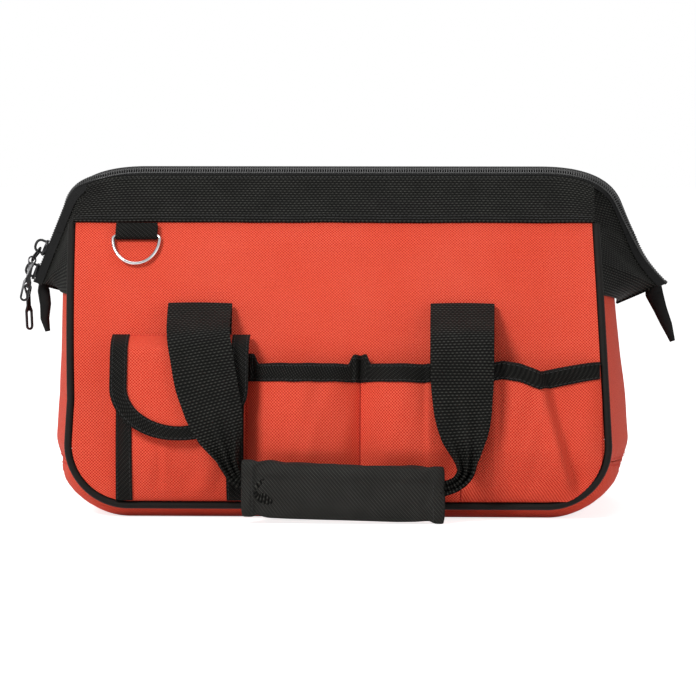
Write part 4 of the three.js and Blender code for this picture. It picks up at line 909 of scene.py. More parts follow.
def row_tree():
    """Repeats a shape along curves at a pitch, with its X along the curve."""
    tree = bpy.data.node_groups.new("row_along_line", "GeometryNodeTree")
    for name, kind in ROW_INPUTS.items():
        tree.interface.new_socket(name=name, in_out="INPUT", socket_type="NodeSocket" + kind)
    tree.interface.new_socket(name="Mesh", in_out="OUTPUT", socket_type="NodeSocketGeometry")
    n = Nodes(tree)
    given = n.add("NodeGroupInput")
    curve = {"Curve": given["Lines"], "Length": given["Pitch"]}
    along = n.add("GeometryNodeCurveToPoints", curve, mode="LENGTH")
    shape = n.add("GeometryNodeObjectInfo", {"Object": given["Shape"]})
    least, most = (
        n.add("ShaderNodeVectorMath", {0: (sign,) * 3, "Scale": given["Uneven"]}, operation="SCALE")[0]
        for sign in (-1, 1)
    )
    sway = {0: least, 1: most, "Seed": given["Seed"]}
    jitter = n.add("FunctionNodeRandomValue", sway, data_type="FLOAT_VECTOR")[0]
    # Curve to Points gives each place a turn with Z along the curve and X along the curve's normal
    upright = n.add("FunctionNodeEulerToRotation", {0: (0, -math.pi / 2, 0)})[0]
    turn = along["Rotation"]
    for more in (upright, n.add("FunctionNodeEulerToRotation", {0: jitter})[0]):
        turn = n.add("FunctionNodeRotateRotation", {0: turn, 1: more}, rotation_space="LOCAL")[0]
    places = {"Points": along["Points"], "Instance": shape["Geometry"], "Rotation": turn}
    copies = n.add("GeometryNodeInstanceOnPoints", places)[0]
    real = n.add("GeometryNodeRealizeInstances", {0: copies})[0]
    painted = n.add("GeometryNodeSetMaterial", {"Geometry": real, "Material": given["Finish"]})[0]
    n.add("NodeGroupOutput", {0: painted})
    return tree


ROW_TREE = row_tree()


def row_of(name, lines, shape, pitch, finish, uneven=0.0, seed=1, tilts=None):
    """A mesh of shapes repeated along lines of points in millimetres, made by the node tree."""
    curve = bpy.data.curves.new(name, "CURVE")
    curve.dimensions = "3D"
    curve.twist_mode = "Z_UP"
    for i, points in enumerate(lines):
        spline = curve.splines.new("POLY")
        spline.points.add(len(points) - 1)
        for k, (point, at) in enumerate(zip(spline.points, points)):
            point.co = (*(at * MM), 1)
            point.tilt = tilts[i][k] if tilts else 0
    source = in_scene(name, curve)
    modifier = source.modifiers.new("row", "NODES")
    modifier.node_group = ROW_TREE
    sockets = {item.name: item.identifier for item in ROW_TREE.interface.items_tree}
    values = {"Shape": shape, "Pitch": pitch * MM, "Uneven": uneven, "Seed": seed, "Finish": finish}
    for key, value in values.items():
        modifier[sockets[key]] = value
    depsgraph = bpy.context.evaluated_depsgraph_get()
    mesh = bpy.data.meshes.new_from_object(source.evaluated_get(depsgraph))
    source.modifiers.clear()
    bpy.data.objects.remove(source)
    mesh.name = name
    mesh.shade_smooth()
    return in_scene(name, mesh)


print("node tree:", ROW_TREE.name, "with", len(ROW_TREE.nodes), "nodes")

# %% Coils, ends and tails of the zipper
TOOTH_PITCH = 1.45
TOOTH = capsule("tooth_shape", 0.0042, 0.0012, 0.00046, COIL)
TOOTH.data.transform(Matrix.Rotation(math.pi / 2, 4, "Y"))  # the bar lies across the chain


def chain_places(first, last, offset, lift, step=1.2):
    """Points and tilts along the chain, at a distance from its middle."""
    distances = spaced(first, last, max(2, round((last - first) / step)))
    places = [(d, beside_chain(d, offset)) for d in distances]
    return [on_zipper(d, w, lift) for d, w in places], [zipper_tilt(d, w) for d, w in places]


def coil_half(name, first, last, face, shift, middle):
    """A row of teeth across one edge of the chain, with the cord that runs inside them."""
    points, tilts = chain_places(first + shift, last, face * middle, -0.25)
    teeth = row_of(name, [points], TOOTH, TOOTH_PITCH, COIL, 0.03, 5 + face, [tilts])
    cord = tube(name + "_cord", chain_places(first, last, face * (middle + 0.9), -0.35)[0], 0.75, 8)
    cord.data.materials.append(COIL)
    return [teeth, cord]


for face, name in FACE_NAME.items():
    shift = 0 if face == FRONT else TOOTH_PITCH / 2
    parts = coil_half(f"{name}_teeth", MOVING_FROM, MOVING_TO, face, shift, 1.35)
    dress(joined(f"{name}_coil", parts), COIL, f"{name}_mouth", [f"{name}_zip_coil"])

for side, name in SIDE_NAME.items():
    first, last = (0.3, STUB_LENGTH) if side == LEFT else (RIM.length - STUB_LENGTH, RIM.length - 0.3)
    apart = 2.3 if side == LEFT else 1.5
    parts, tapes = [], []
    for face in (FRONT, BACK):
        half = f"{name}_{FACE_NAME[face]}"
        parts += coil_half(f"{half}_teeth", first, last, face, 0.3 * (face + 1), apart)
        tapes.append(sheet(f"{half}_end_tape", tape_grid(face, first, last), TAPE))
    at = first + 0.7 if side == LEFT else last - 0.7
    middle = on_zipper(at, chain_middle(at), -0.3)
    bar = [middle + Vector((0, y, 0)) for y in (-2.4, -2.2, 2.2, 2.4)]
    parts.append(tube("stop", bar, 1.2, 10, hint=Vector((1, 0, 0))))
    dress(joined(f"{name}_chain_end", parts), COIL, "bag")
    dress(joined(f"{name}_tape_end", tapes), NYLON, "bag", [f"{name}_zip_end"])


# Each place of a tail is X and fall from the tip, width and thickness
TAIL_PLACES = {
    LEFT: ((1.5, -1, 6, 5.5), (2, 4, 6, 8.6), (3, 12, 5.6, 8.2), (2.5, 21, 4.8, 6.4), (4.2, 29, 2.6, 3.6)),
    RIGHT: ((-4.5, -3, 7, 9), (-4, 5, 6, 12), (-0.5, 14, 5.6, 9.6), (3.5, 24, 5, 8), (7, 34, 2.8, 4)),
}
TAIL_TWIST = 0.5
TAIL_DENTS = (0.28, 1.4, 0.35), (0.22, 4.4, 0.3)


def zip_tail(side):
    """The folded end of the tape: it hangs from the tip, twists a little and ends in a point."""
    top = at_rim(0 if side == LEFT else RIM.length, 0, -3.4)
    places = TAIL_PLACES[side]
    points, sizes = [], []
    for t in spaced(0, len(places) - 1, 40):
        i = min(int(t), len(places) - 2)
        x, fall, *size = [lerp(p, q, (smooth(t - i) + t - i) / 2) for p, q in zip(*places[i : i + 2])]
        points.append(Vector((top.x + x, 0.4 * math.sin(t * 2), top.z - fall)))
        sizes.append(size)

    def section(share):
        width, thick = sizes[round(share * (len(sizes) - 1))]
        cos, sin = math.cos(TAIL_TWIST * share), math.sin(TAIL_TWIST * share)
        ring = []
        for j, (c, d) in enumerate(circle(0.5, 22)):
            a = 2 * math.pi * j / 22
            dent = 1
            for depth, middle, wide in TAIL_DENTS:
                dent -= depth * math.exp(-(((a - middle) / wide) ** 2))
            s, u = width * dent * c, thick * dent * d
            ring.append((s * cos - u * sin, s * sin + u * cos))
        return ring

    return tube(f"{SIDE_NAME[side]}_tail", points, 0, 22, shape=section)


for side, name in SIDE_NAME.items():
    dress(zip_tail(side), NYLON, "bag", [f"{name}_zip_tail"])

# %% [markdown]
# ## Pockets
# The open pockets are cut wider than the wall behind them and stitched down at their sides and
# feet, so each stands out in a soft box. Their open edges are bound with tape that wraps over the
# edge. On the real bag the cloth sags into a few folds, so the shape of each pocket gets vertical
# waves that grow towards the foot, and the right pocket keeps its long slanting fold.

# %% Pocket sizes
POCKET_CLOTH, POCKET_FOOT, POCKET_TOP, POCKET_DEPTH, POCKET_SQUARE = 1.0, 11, 89.5, 12, 2.6
SEAMS = {FRONT: (-53.8, 13.3, 72.9, 156.3), BACK: (-156.3, -52, 52, 156.3)}
POCKETS = {FRONT: ("centre_left", "centre_right", "end"), BACK: ("left", "middle", "right")}
STRAP_WIDTH, STRAP_CENTRES, HANDLE_HEIGHT, HANDLE_OFFSET = 38, (-82.5, 73.5), 124.5, 3.9
ANCHOR_CLOTH, ANCHOR_FOOT = 1.2, POCKET_FOOT + 9
ANCHOR_OUTER = WALL_CLOTH + CLEAR + ANCHOR_CLOTH
BINDING_HEIGHT, SIDE_BINDING, BINDING_CLOTH = 9.4, 10.4, 0.7


class Pocket:
    """One pocket: its edge and how far its cloth stands out from the wall, in millimetres."""

    def __init__(self, name, face, left, right, top=POCKET_TOP, square=POCKET_SQUARE, seed=0):
        self.name, self.face, self.left, self.right = name, face, left, right
        self.top, self.square, self.seed = top, square, seed

    def top_at(self, x):
        """Height of the open edge: it sags a little between its seams."""
        u = (2 * x - self.left - self.right) / (self.right - self.left)
        return self.top - 1.3 * (1 - u * u) + 0.9 * ripple(x, 0, 15, 1, self.seed + 5)

    def sides(self, z):
        limit = wall_half_width(z) - PIPING_RADIUS - 0.5
        return max(self.left, -limit), min(self.right, limit)

    def out(self, x, z):
        """How far the inner face of the cloth stands out from the wall."""
        left, right = self.sides(z)
        u = clamp((2 * x - left - right) / (right - left), -1, 1)
        w = clamp((z - POCKET_FOOT) / (self.top - POCKET_FOOT))
        full = POCKET_DEPTH * (1 - abs(u) ** self.square) * min(1, 2.6 * w) ** 0.7
        return seam_out(x, z) + full + self.folds(x, z, u, w)

    def folds(self, x, z, u, w):
        """Waves of the cloth. They die out at the seams and stay small under the binding."""
        free = (1 - abs(u) ** 4) * smooth(w * 6) * (1 - 0.6 * smooth((w - 0.8) / 0.2))
        waves = 2.2 * ripple(x, z, 17, 90, self.seed) + 1.1 * ripple(x - 0.3 * z, z, 9, 60, self.seed + 3)
        return free * (waves - 0.9)


def seam_out(x, z):
    offset = min(abs(x - c) for c in STRAP_CENTRES)
    cover = 1 - smooth((offset - STRAP_WIDTH / 2 - 0.4) / 2.6)
    climb = clamp((z - POCKET_FOOT) / (ANCHOR_FOOT - POCKET_FOOT - 1))
    return WALL_CLOTH + CLEAR + ANCHOR_CLOTH * 1.25 * cover * climb


class FoldedPocket(Pocket):
    """The right front pocket: a fold runs down it, and the cloth steps back beyond the fold."""

    # The edge dips to the fold and climbs again beyond it
    EDGE_X = 73, 90, 97, 108, 116, 120, 122, 157
    EDGE_RISE = -1.8, -1.2, 0.4, -1.2, -4.4, -5.6, -4.4, 2.6
    FOLD_FOOT, FOLD_TOP, STEP_BACK, LIP = 140, 117, 6.2, 2.2

    def top_at(self, x):
        return self.top + float(np.interp(x, self.EDGE_X, self.EDGE_RISE))

    def folds(self, x, z, u, w):
        beyond = x - lerp(self.FOLD_FOOT, self.FOLD_TOP, w)
        step = smooth(beyond / 5) * smooth((156 - x) / 22) * smooth(w * 5)
        step *= 1 - 0.5 * smooth((w - 0.85) / 0.15)
        lip = math.exp(-(((beyond + 2) / 3.2) ** 2)) * smooth(w * 5)
        return super().folds(x, z, u, w) * 0.8 - self.STEP_BACK * step + self.LIP * lip


def open_pockets(face):
    made = []
    for i, part in enumerate(POCKETS[face]):
        kind = FoldedPocket if part == "end" else Pocket
        left, right = SEAMS[face][i] + 0.3, SEAMS[face][i + 1] - 0.3
        made.append(kind(f"{FACE_NAME[face]}_pocket_{part}", face, left, right, seed=11 + 5 * i + 3 * face))
    return made


ROWS = {face: open_pockets(face) for face in (FRONT, BACK)}
FLAP_POCKET = Pocket("front_flap_pocket", FRONT, -131.6, -55, 91, 6, 37)


def pocket_x(pocket, z, u):
    """u from 0 to 1 across the pocket, with closer columns at its sides."""
    left, right = pocket.sides(z)
    return (left + right) / 2 - math.cos(math.pi * u) * (right - left) / 2


def pocket_grid(pocket):
    def place(u, v):
        z = lerp(POCKET_FOOT, pocket.top, v**1.3)
        x = pocket_x(pocket, z, u)
        z += (pocket.top_at(x) - pocket.top) * v**3
        return on_wall(pocket.face, x, z, pocket.out(x, z) + POCKET_CLOTH)

    return laid_out(place, spaced(0, 1, 72), spaced(0, 1, 46))


for pocket in ROWS[FRONT] + ROWS[BACK] + [FLAP_POCKET]:
    cloth = sheet(pocket.name + "_cloth", pocket_grid(pocket), POCKET_CLOTH)
    dress(cloth, RED, "bag", [pocket.name])


# %% Bindings over the pockets' edges
def tape_point(pocket, u, drop, edge, lift=0.0):
    """A point of the tape on a pocket's edge. Beside an inner seam it folds up into a small bunch."""
    x = pocket_x(pocket, pocket.top, u)
    across = -math.cos(math.pi * u)
    seam_x = pocket.left if across < 0 else pocket.right
    bunch = smooth((abs(across) - 0.79) / 0.1) * (1 if abs(seam_x) < 150 else 0)
    share = clamp(1 + drop / BINDING_HEIGHT)
    z = pocket.top_at(x) + drop + 5.4 * bunch * share
    out = pocket.out(x, min(pocket.top, z)) + bunch * (1.8 * share + 0.8 * math.sin(x * 1.3))
    swell_out = 0.25 * ripple(x, drop, 12, 9, pocket.seed)
    return on_wall(pocket.face, x, z, max(out + edge + swell_out, WALL_CLOTH + CLEAR + TRIM) + lift)


TAPE_OUTSIDE, TAPE_OVER, TAPE_INSIDE = POCKET_CLOTH + 0.2 + TRIM, POCKET_CLOTH / 2, -0.3 - TRIM


def binding_grid(row):
    """Tape that wraps over the open edges of a row: outside, over the edge and a little way inside."""
    profile = [(-BINDING_HEIGHT + d, TAPE_OUTSIDE) for d in spaced(0, BINDING_HEIGHT - 0.3, 9)]
    profile += [(0.9, TAPE_OVER), (-0.3, TAPE_INSIDE), (-3, TAPE_INSIDE), (-6.5, TAPE_INSIDE)]
    shares = spaced(0, 1, 72)
    return [[tape_point(pocket, u, drop, edge) for pocket in row for u in shares] for drop, edge in profile]


for face, name in FACE_NAME.items():
    tape = sheet(f"{name}_pocket_tape", binding_grid(ROWS[face]), BINDING_CLOTH)
    dress(tape, TAPE_CLOTH, "bag", [f"{name}_pocket_binding"])


def side_tape_point(side, inset, z, lift=0.0):
    """A point of the tape along a side of the flap pocket, at an inset from its seam."""
    x = (FLAP_POCKET.left if side == LEFT else FLAP_POCKET.right) - side * inset
    return on_wall(FRONT, x, z, FLAP_POCKET.out(x, z) + TAPE_OUTSIDE + lift)


for side, name in SIDE_NAME.items():
    heights = spaced(POCKET_FOOT, FLAP_POCKET.top - 3, 60)
    insets = spaced(0.3, SIDE_BINDING, 12)
    grid = laid_out(lambda inset, z: side_tape_point(side, inset, z), insets, heights)
    tape = sheet(f"flap_pocket_{name}_tape", grid, BINDING_CLOTH)
    dress(tape, TAPE_CLOTH, "bag", [f"flap_pocket_{name}_binding"])

# %% [markdown]
# ## The flap
# A flap of the same cloth covers the left pocket. It leaves the wall under a seam, bends over the
# pocket's edge and hangs down. Its free edge is bound with the tape, which follows the round
# corners, so the tape's grid runs along that edge instead of across the cloth.

# %% Flap and its tape
FLAP_LEFT, FLAP_RIGHT, FLAP_TOP, FLAP_FOOT, FLAP_CORNER, FLAP_CURVE = -133.4, -52.5, 107, 47, 28, 39
FLAP_SEAM = ANCHOR_OUTER + CLEAR
FLAP_REST = FLAP_SEAM + POCKET_DEPTH + POCKET_CLOTH + TRIM + SEAT + CLEAR


def flap_out(x, z):
    t = clamp((FLAP_TOP - z) / (FLAP_TOP - FLAP_POCKET.top - 1.5))
    base = FLAP_SEAM + (FLAP_REST - FLAP_SEAM) * math.sin(t * math.pi / 2) ** 0.9
    return base + 0.8 * t * max(0, ripple(x, z, 26, 34, 81)) + 0.5 * t * smooth((60 - z) / 14)


def flap_span(z):
    centre, half = (FLAP_LEFT + FLAP_RIGHT) / 2, (FLAP_RIGHT - FLAP_LEFT) / 2
    below = clamp(FLAP_FOOT + FLAP_CORNER - z, 0, FLAP_CORNER)
    cut = FLAP_CURVE * (1 - math.sqrt(1 - (below / FLAP_CORNER) ** 2))
    return centre - half + cut, centre + half - cut


def flap_point(u, v):
    z = lerp(FLAP_FOOT, FLAP_TOP, v**1.4) + 0.02
    left, right = flap_span(z)
    x = lerp(left, right, u)
    return on_wall(FRONT, x, z, flap_out(x, z) + POCKET_CLOTH)


def flap_edge():
    """The free edge of the flap, from its upper left corner round to its upper right one."""
    low = FLAP_FOOT + FLAP_CORNER
    first, last = FLAP_LEFT + FLAP_CURVE, FLAP_RIGHT - FLAP_CURVE
    points = [(FLAP_LEFT, z) for z in spaced(FLAP_TOP - 0.5, low, 14)]
    points += quarter(first, low, FLAP_CURVE, FLAP_CORNER, 180)[1:]
    points += [(x, FLAP_FOOT) for x in spaced(first, last, 8)][1:]
    points += quarter(last, low, FLAP_CURVE, FLAP_CORNER, 270)[1:]
    points += [(FLAP_RIGHT, z) for z in spaced(low, FLAP_TOP - 0.5, 14)][1:]
    return Line(points)


FLAP_EDGE = flap_edge()
FLAP_TAPE_WIDTH = 9.8


def flap_tape_point(u, distance):
    x, z, tx, tz = FLAP_EDGE.at(distance)
    inset = lerp(-0.5, FLAP_TAPE_WIDTH * lerp(0.72, 1, abs(tz)), u)
    px, pz = x - tz * inset, z + tx * inset
    return on_wall(FRONT, px, pz, flap_out(px, pz) + POCKET_CLOTH + CLEAR + TRIM + 0.1)


flap = sheet("pocket_flap_cloth", laid_out(flap_point, spaced(0, 1, 50), spaced(0, 1, 46)), POCKET_CLOTH)
dress(flap, RED, "flap", ["pocket_flap"])
grid = laid_out(flap_tape_point, spaced(0, 1, 8), spaced(0, FLAP_EDGE.length, 120))
dress(sheet("flap_tape", grid, TRIM), TAPE_CLOTH, "flap", ["flap_binding"])

# %% [markdown]
# ## Handles
# One strip of webbing makes each handle. It is sewn flat to the wall, turns over at the top of the
# anchor, hangs down over the pockets, then sweeps inwards to the grip. A strip that bends edgewise
# gathers, so its section narrows in pleats towards the grip, and inside the grip it is folded in
# half lengthwise.

# %% Anchors
ANCHOR_TOP = HANDLE_HEIGHT + 0.6
for face in (FRONT, BACK):
    for side, centre in zip((LEFT, RIGHT), STRAP_CENTRES):
        name = f"{FACE_NAME[face]}_{SIDE_NAME[side]}_anchor"
        place = lambda u, z: on_wall(face, centre + STRAP_WIDTH * (u - 0.5), z, ANCHOR_OUTER)
        grid = laid_out(place, spaced(0, 1, 14), spaced(ANCHOR_FOOT, ANCHOR_TOP, 60))
        dress(sheet(name + "_webbing", grid, ANCHOR_CLOTH), WEBBING, "bag", [name])

# %% Handle line
GRIP_LENGTH, GRIP_HEIGHT, GRIP_THICKNESS, GRIP_CENTRE = 120, 33.6, 12, (4.2, -110.5, 18.9)
GRIP_TILT = math.radians(1.9)
# The left strap slants to the grip, the right one drops and turns in
STRAP_X = {
    LEFT: (-81.6, -79.4, -77, -73.2, -68.1, -64.6, -61.6, -57.5, -50, -40),
    RIGHT: (73.6, 73.9, 73.9, 74.2, 75.2, 76.3, 75.6, 71, 64, 52),
}
STRAP_HEIGHTS = {
    LEFT: (109, 97, 84, 69.4, 51.8, 41, 32.5, 26, 23, 20),
    RIGHT: (109, 97, 84, 69, 52, 38, 30, 24.4, 21.4, 18.4),
}
STRAP_DEPTHS = (-94, -99.8, -103.2, -105.6, -107.2, -108.4, -109.4, -110.2, -110.5, -110.5)


def handle_line(face):
    """The line of a handle from its left fold to its right one."""
    top = on_wall(FRONT, 0, HANDLE_HEIGHT, HANDLE_OFFSET)

    def leg(side, x):
        fold = [(x, top.y, top.z), (x, top.y - 11, top.z - 7)]
        return fold + list(zip(STRAP_X[side], STRAP_DEPTHS, STRAP_HEIGHTS[side]))

    places = leg(LEFT, STRAP_CENTRES[0]) + leg(RIGHT, STRAP_CENTRES[1])[::-1]
    return [Vector((x, -face * y, z)) for x, y, z in places]


def through(points, count):
    """Evenly spaced points on a smooth curve through the given ones, a Catmull-Rom spline."""
    curve = []
    padded = [points[0] * 2 - points[1], *points, points[-1] * 2 - points[-2]]
    for four in zip(padded, padded[1:], padded[2:], padded[3:]):
        knots = [0.0]
        for p, q in zip(four, four[1:]):
            knots.append(knots[-1] + max((q - p).length ** 0.5, 1e-6))

        def between(a, b, j, k):
            span = knots[k] - knots[j]
            return a * ((knots[k] - t) / span) + b * ((t - knots[j]) / span)

        for t in spaced(knots[1], knots[2], 16)[:-1]:
            ab, bc, cd = (between(four[k], four[k + 1], k, k + 1) for k in range(3))
            curve.append(between(between(ab, bc, 0, 2), between(bc, cd, 1, 3), 1, 2))
    curve.append(points[-1].copy())
    marks = np.concatenate([[0], np.cumsum([(q - p).length for p, q in zip(curve, curve[1:])])])
    xyz = np.array([tuple(p) for p in curve])
    at = np.linspace(0, marks[-1], count + 1)
    return [Vector(p) for p in np.stack([np.interp(at, marks, xyz[:, k]) for k in range(3)], axis=1)]


# %% Handle webbing
HANDLE_STEPS = 300


def handle_frames(points, face):
    """Each frame is a point, the direction across the strip in its own plane, and its outward side."""
    frames = []
    for i, at in enumerate(points):
        along = (points[min(HANDLE_STEPS, i + 1)] - points[max(0, i - 1)]).normalized()
        outward = Vector((0, face, 0))
        outward = (outward - along * outward.dot(along)).normalized()
        frames.append((at, along.cross(outward), outward))
    return frames


# How wide the gathered strip is, as a share of its flat width, by the distance from its sewn end
GATHER_FROM = 0, 62, 79, 87, 94, 101, 108, 114, 121
GATHER = 1, 0.97, 0.89, 0.81, 0.7, 0.52, 0.34, 0.25, 0.2
FOLD_FROM, FOLD_LENGTH, PLEAT, PLEAT_DEPTH = 129, 10, 15, 3.2


def strip_section(from_end, count=44):
    """The strip's outer face as [across, outward] pairs: flat, gathered in pleats, folded in half."""
    gather = float(np.interp(from_end, GATHER_FROM, GATHER))
    folded = smooth((from_end - FOLD_FROM) / FOLD_LENGTH)
    half = STRAP_WIDTH / 2
    section = []
    for s in spaced(-half, half, count):
        pleat = (1 - gather) * PLEAT_DEPTH * math.sin(2 * math.pi * s / PLEAT + 0.7)
        pleat += 0.5 * (1 - (s / half) ** 2)
        turn = half / 2 * (1 - abs(s) / half * 2)
        layer = 1.5 * math.tanh(s / 1.2)
        section.append((lerp(s * gather, turn, folded), lerp(pleat, layer, folded)))
    return section


def handle_strip(face):
    points = through(handle_line(face), HANDLE_STEPS)
    step = sum((q - p).length for p, q in zip(points, points[1:])) / HANDLE_STEPS
    grid = []
    for i, (at, across, outward) in enumerate(handle_frames(points, face)):
        from_end = step * min(i, HANDLE_STEPS - i)
        wavy = 0.5 * smooth((from_end - 30) / 30)
        row = []
        for k, (a, b) in enumerate(strip_section(from_end)):
            soft = wavy * ripple(k * 2.1, from_end, 17, 24, 90 + face + (i > HANDLE_STEPS / 2))
            row.append(at + across * a + outward * (b + WEB / 2 + soft))
        grid.append(row)
    return grid


for face, name in FACE_NAME.items():
    strip = sheet(f"{name}_handle_strip", handle_strip(face), WEB)
    dress(strip, WEBBING, f"{name}_handle", [f"{name}_handle_webbing"])

# %% [markdown]
# ## The padded grip
# A soft wrap closes round the front handle. It is the one stuffed piece, so cloth simulation with a
# little pressure swells it between its stitched ends. The wrap starts a touch thinner than the
# solid, the pressure fills it, and a cap keeps every point within 1.6 mm of where it began.

# %% Grip shape
GRIP_PINCH, GRIP_LAP = 0.62, 0.8


def grip_start():
    """A rounded box of even quads, a touch thinner than the finished wrap."""
    gx, gy, gz = GRIP_CENTRE
    ring = []
    high, thick, corner = GRIP_HEIGHT / 2, GRIP_THICKNESS / 2 - 0.9, 3.2
    for cx, cz, a0 in ((1, 1, 0), (-1, 1, 90), (-1, -1, 180), (1, -1, 270)):
        ring += quarter(cx * (thick - corner), cz * (high - corner), corner, corner, a0, 5)
    outline = []
    for (y0, z0), (y1, z1) in zip(ring, ring[1:] + ring[:1]):
        pieces = max(1, round(math.hypot(y1 - y0, z1 - z0) / 2.2))
        outline += [(lerp(y0, y1, t), lerp(z0, z1, t)) for t in spaced(0, 1, pieces)[:-1]]

    def place(yz, x):
        y, z = yz
        squeeze = lerp(GRIP_PINCH, 1, smooth((GRIP_LENGTH / 2 - abs(x)) / 5))
        lap = GRIP_LAP if y < 0 and z > high - 9 else 0
        return Vector((gx + x, gy + y * squeeze - lap, gz + z - x * math.tan(GRIP_TILT)))

    grid = laid_out(place, outline, spaced(-GRIP_LENGTH / 2, GRIP_LENGTH / 2, 62))
    return grid_piece("grip_wrap_cloth", grid, wrap=True, caps=True)


def swell(piece, pressure, frames, cap):
    """Fills a closed cloth with a little pressure and keeps each point within a cap of its start."""
    start = np.array([v.co for v in piece.data.vertices])
    ends = piece.vertex_groups.new(name="sewn")
    low, high = start[:, 0].min() + 0.007, start[:, 0].max() - 0.007
    ends.add([int(i) for i in np.flatnonzero((start[:, 0] < low) | (start[:, 0] > high))], 1, "REPLACE")
    cloth = piece.modifiers.new("cloth", "CLOTH")
    cloth.settings.quality = 6
    cloth.settings.use_pressure = True
    cloth.settings.uniform_pressure_force = pressure
    cloth.settings.effector_weights.gravity = 0
    cloth.settings.vertex_group_mass = "sewn"
    cloth.settings.shrink_min = -0.025
    cloth.point_cache.frame_end = frames
    scene = bpy.context.scene
    for number in range(1, frames + 1):
        scene.frame_set(number)
    depsgraph = bpy.context.evaluated_depsgraph_get()
    moved = np.array([v.co for v in piece.evaluated_get(depsgraph).data.vertices])
    piece.modifiers.clear()
    scene.frame_set(1)
    shift = moved - start
    size = np.maximum(np.linalg.norm(shift, axis=1), 1e-9)
    shift *= np.minimum(1, cap * MM / size)[:, None]
    piece.data.vertices.foreach_set("co", (start + shift).reshape(-1).astype(np.float32))
    piece.data.update()
    print(piece.name, "swelled by up to", round(float(np.linalg.norm(shift, axis=1).max()) * 1000, 2), "mm")


grip = grip_start()
turn_faces(grip, True)
swell(grip, pressure=3.0, frames=22, cap=1.6)
smoother = grip.modifiers.new("smoother", "SUBSURF")
smoother.levels = smoother.render_levels = 1
settle(grip)
dress(grip, TWILL, "front_handle", ["front_grip_wrap"])

# %% [markdown]
# ## Rings, tabs and metal
# The D-ring is round wire, so it is a tube along its own line, finer than the solid. Its tab is a
# short loop of webbing sewn under the band. The sliders, links and pulls are die castings whose
# solids are already right, so a copy of each solid gets merged points, flat faces and a small bevel.

# %% D-rings and tabs
RING_X, RING_WIRE, RING_HALF_WIDTH, RING_DROP, RING_LIE = -122.5, 1.05, 14, 18.6, math.radians(4)
RING_CORNER, RING_CORNER_RISE = 3.2, 1.9
TAB_WIDTH, TAB_LENGTH, TAB_CLOTH = 25, 8.8, 0.9


def ring_frame(face):
    z = BAND_LOWER - TAB_LENGTH
    ny, nz = wall_normal(z)
    at = on_wall(face, -face * RING_X, z, WALL_CLOTH + CLEAR + RING_WIRE + CLEAR + TRIM)
    return at, Vector((0, face * ny, nz)), Vector((0, face * nz, -ny))


def d_ring(face):
    """A straight bar, two small corners and a round bow, in a plane that hangs a little off the wall."""
    at, out, down = ring_frame(face)
    fall = down * math.cos(RING_LIE) - out * math.sin(RING_LIE)
    x, w, rise = Vector((1, 0, 0)), RING_HALF_WIDTH, RING_CORNER_RISE
    end = w - RING_CORNER
    turns = spaced(0, math.pi / 2, 8)[1:]
    right = [(end + RING_CORNER * math.sin(t), (1 - math.cos(t)) * rise) for t in turns]
    bow = [(w * math.cos(a), rise + (RING_DROP - rise) * math.sin(a)) for a in spaced(0, math.pi, 48)]
    left = [(-a, b) for a, b in right[::-1]]
    points = [at + x * a for a in spaced(-end, end, 16)]
    points += [at + x * a + fall * b for a, b in right + bow[1:-1] + left[:-1]]
    return tube(f"{FACE_NAME[face]}_ring", points, RING_WIRE, 16, closed=True, hint=x.cross(fall))


def ring_tab(face):
    """Webbing that comes down from the band, turns round the ring's bar and goes back up behind it."""
    at, out, down = ring_frame(face)
    outer, rise = RING_WIRE + CLEAR + 0.95, TAB_LENGTH - SEAT
    profile = [(outer - 0.9 * smooth((t - 0.3) / 0.7), -rise * t) for t in spaced(1, 0, 8)]
    profile += [(outer * math.cos(a), outer * math.sin(a)) for a in spaced(0, math.pi, 14)][1:]
    profile += [(-outer, -rise * t) for t in spaced(0, 1, 6)][1:]
    columns = spaced(-TAB_WIDTH / 2, TAB_WIDTH / 2, 20)
    grid = [[at + Vector((x, 0, 0)) + out * a + down * b for x in columns] for a, b in profile]
    return sheet(f"{FACE_NAME[face]}_tab", grid, TAB_CLOTH, at)


for face, name in FACE_NAME.items():
    dress(d_ring(face), CHROME, f"{name}_ring", [f"{name}_d_ring"])
    dress(ring_tab(face), TAPE_CLOTH, f"{name}_mouth", [f"{name}_ring_tab"])


# %% Cast metal
def refined(node, bevel):
    """A finer copy of a rigid solid: points merged, flat faces joined, edges rounded."""
    mesh = NODES[node].data.copy()
    piece = in_scene(node + "_cast", mesh)
    with editing(mesh) as bm:
        bmesh.ops.remove_doubles(bm, verts=bm.verts, dist=1e-6)
        bmesh.ops.dissolve_limit(bm, angle_limit=math.radians(3), verts=bm.verts, edges=bm.edges)
    edge = piece.modifiers.new("rounded", "BEVEL")
    edge.width, edge.segments, edge.limit_method = bevel * MM, 2, "ANGLE"
    edge.angle_limit, edge.harden_normals = math.radians(32), False
    return settle(piece)


CASTINGS = ("slider", "slider", 0.22), ("pull_link", "link", 0.16), ("pull_tab", "pull", 0.22)
for place in ("upper", "lower"):
    for part, body, bevel in CASTINGS:
        node = f"{place}_{part}"
        dress(refined(node, bevel), ENAMEL, f"{place}_{body}_body", [node])
kept = {node: STEEL for node in NODES if "_frame_" in node} | {"base_board": BOARD}
for node, finish in kept.items():
    NODES[node].data.materials.clear()
    NODES[node].data.materials.append(finish)
print("plain CAD nodes kept:", sorted(kept))

# %% [markdown]
# ## Stitches
# Seams are what make cloth look sewn. Each seam is a line of points just above the cloth, and the
# same node tree as the zipper's repeats a short rounded thread along it, each turned a little off
# true by a fixed seed.

# %% Seams
STITCH = capsule("stitch_shape", 0.0021, 0.00024, 0.0002, BLACK_THREAD, sides=5, rings=(0.0, 0.6, 1.0))


def seam(name, lines, finish, body, pitch=2.7):
    dress(row_of(name, lines, STITCH, pitch, finish, 0.06, 3), finish, body)


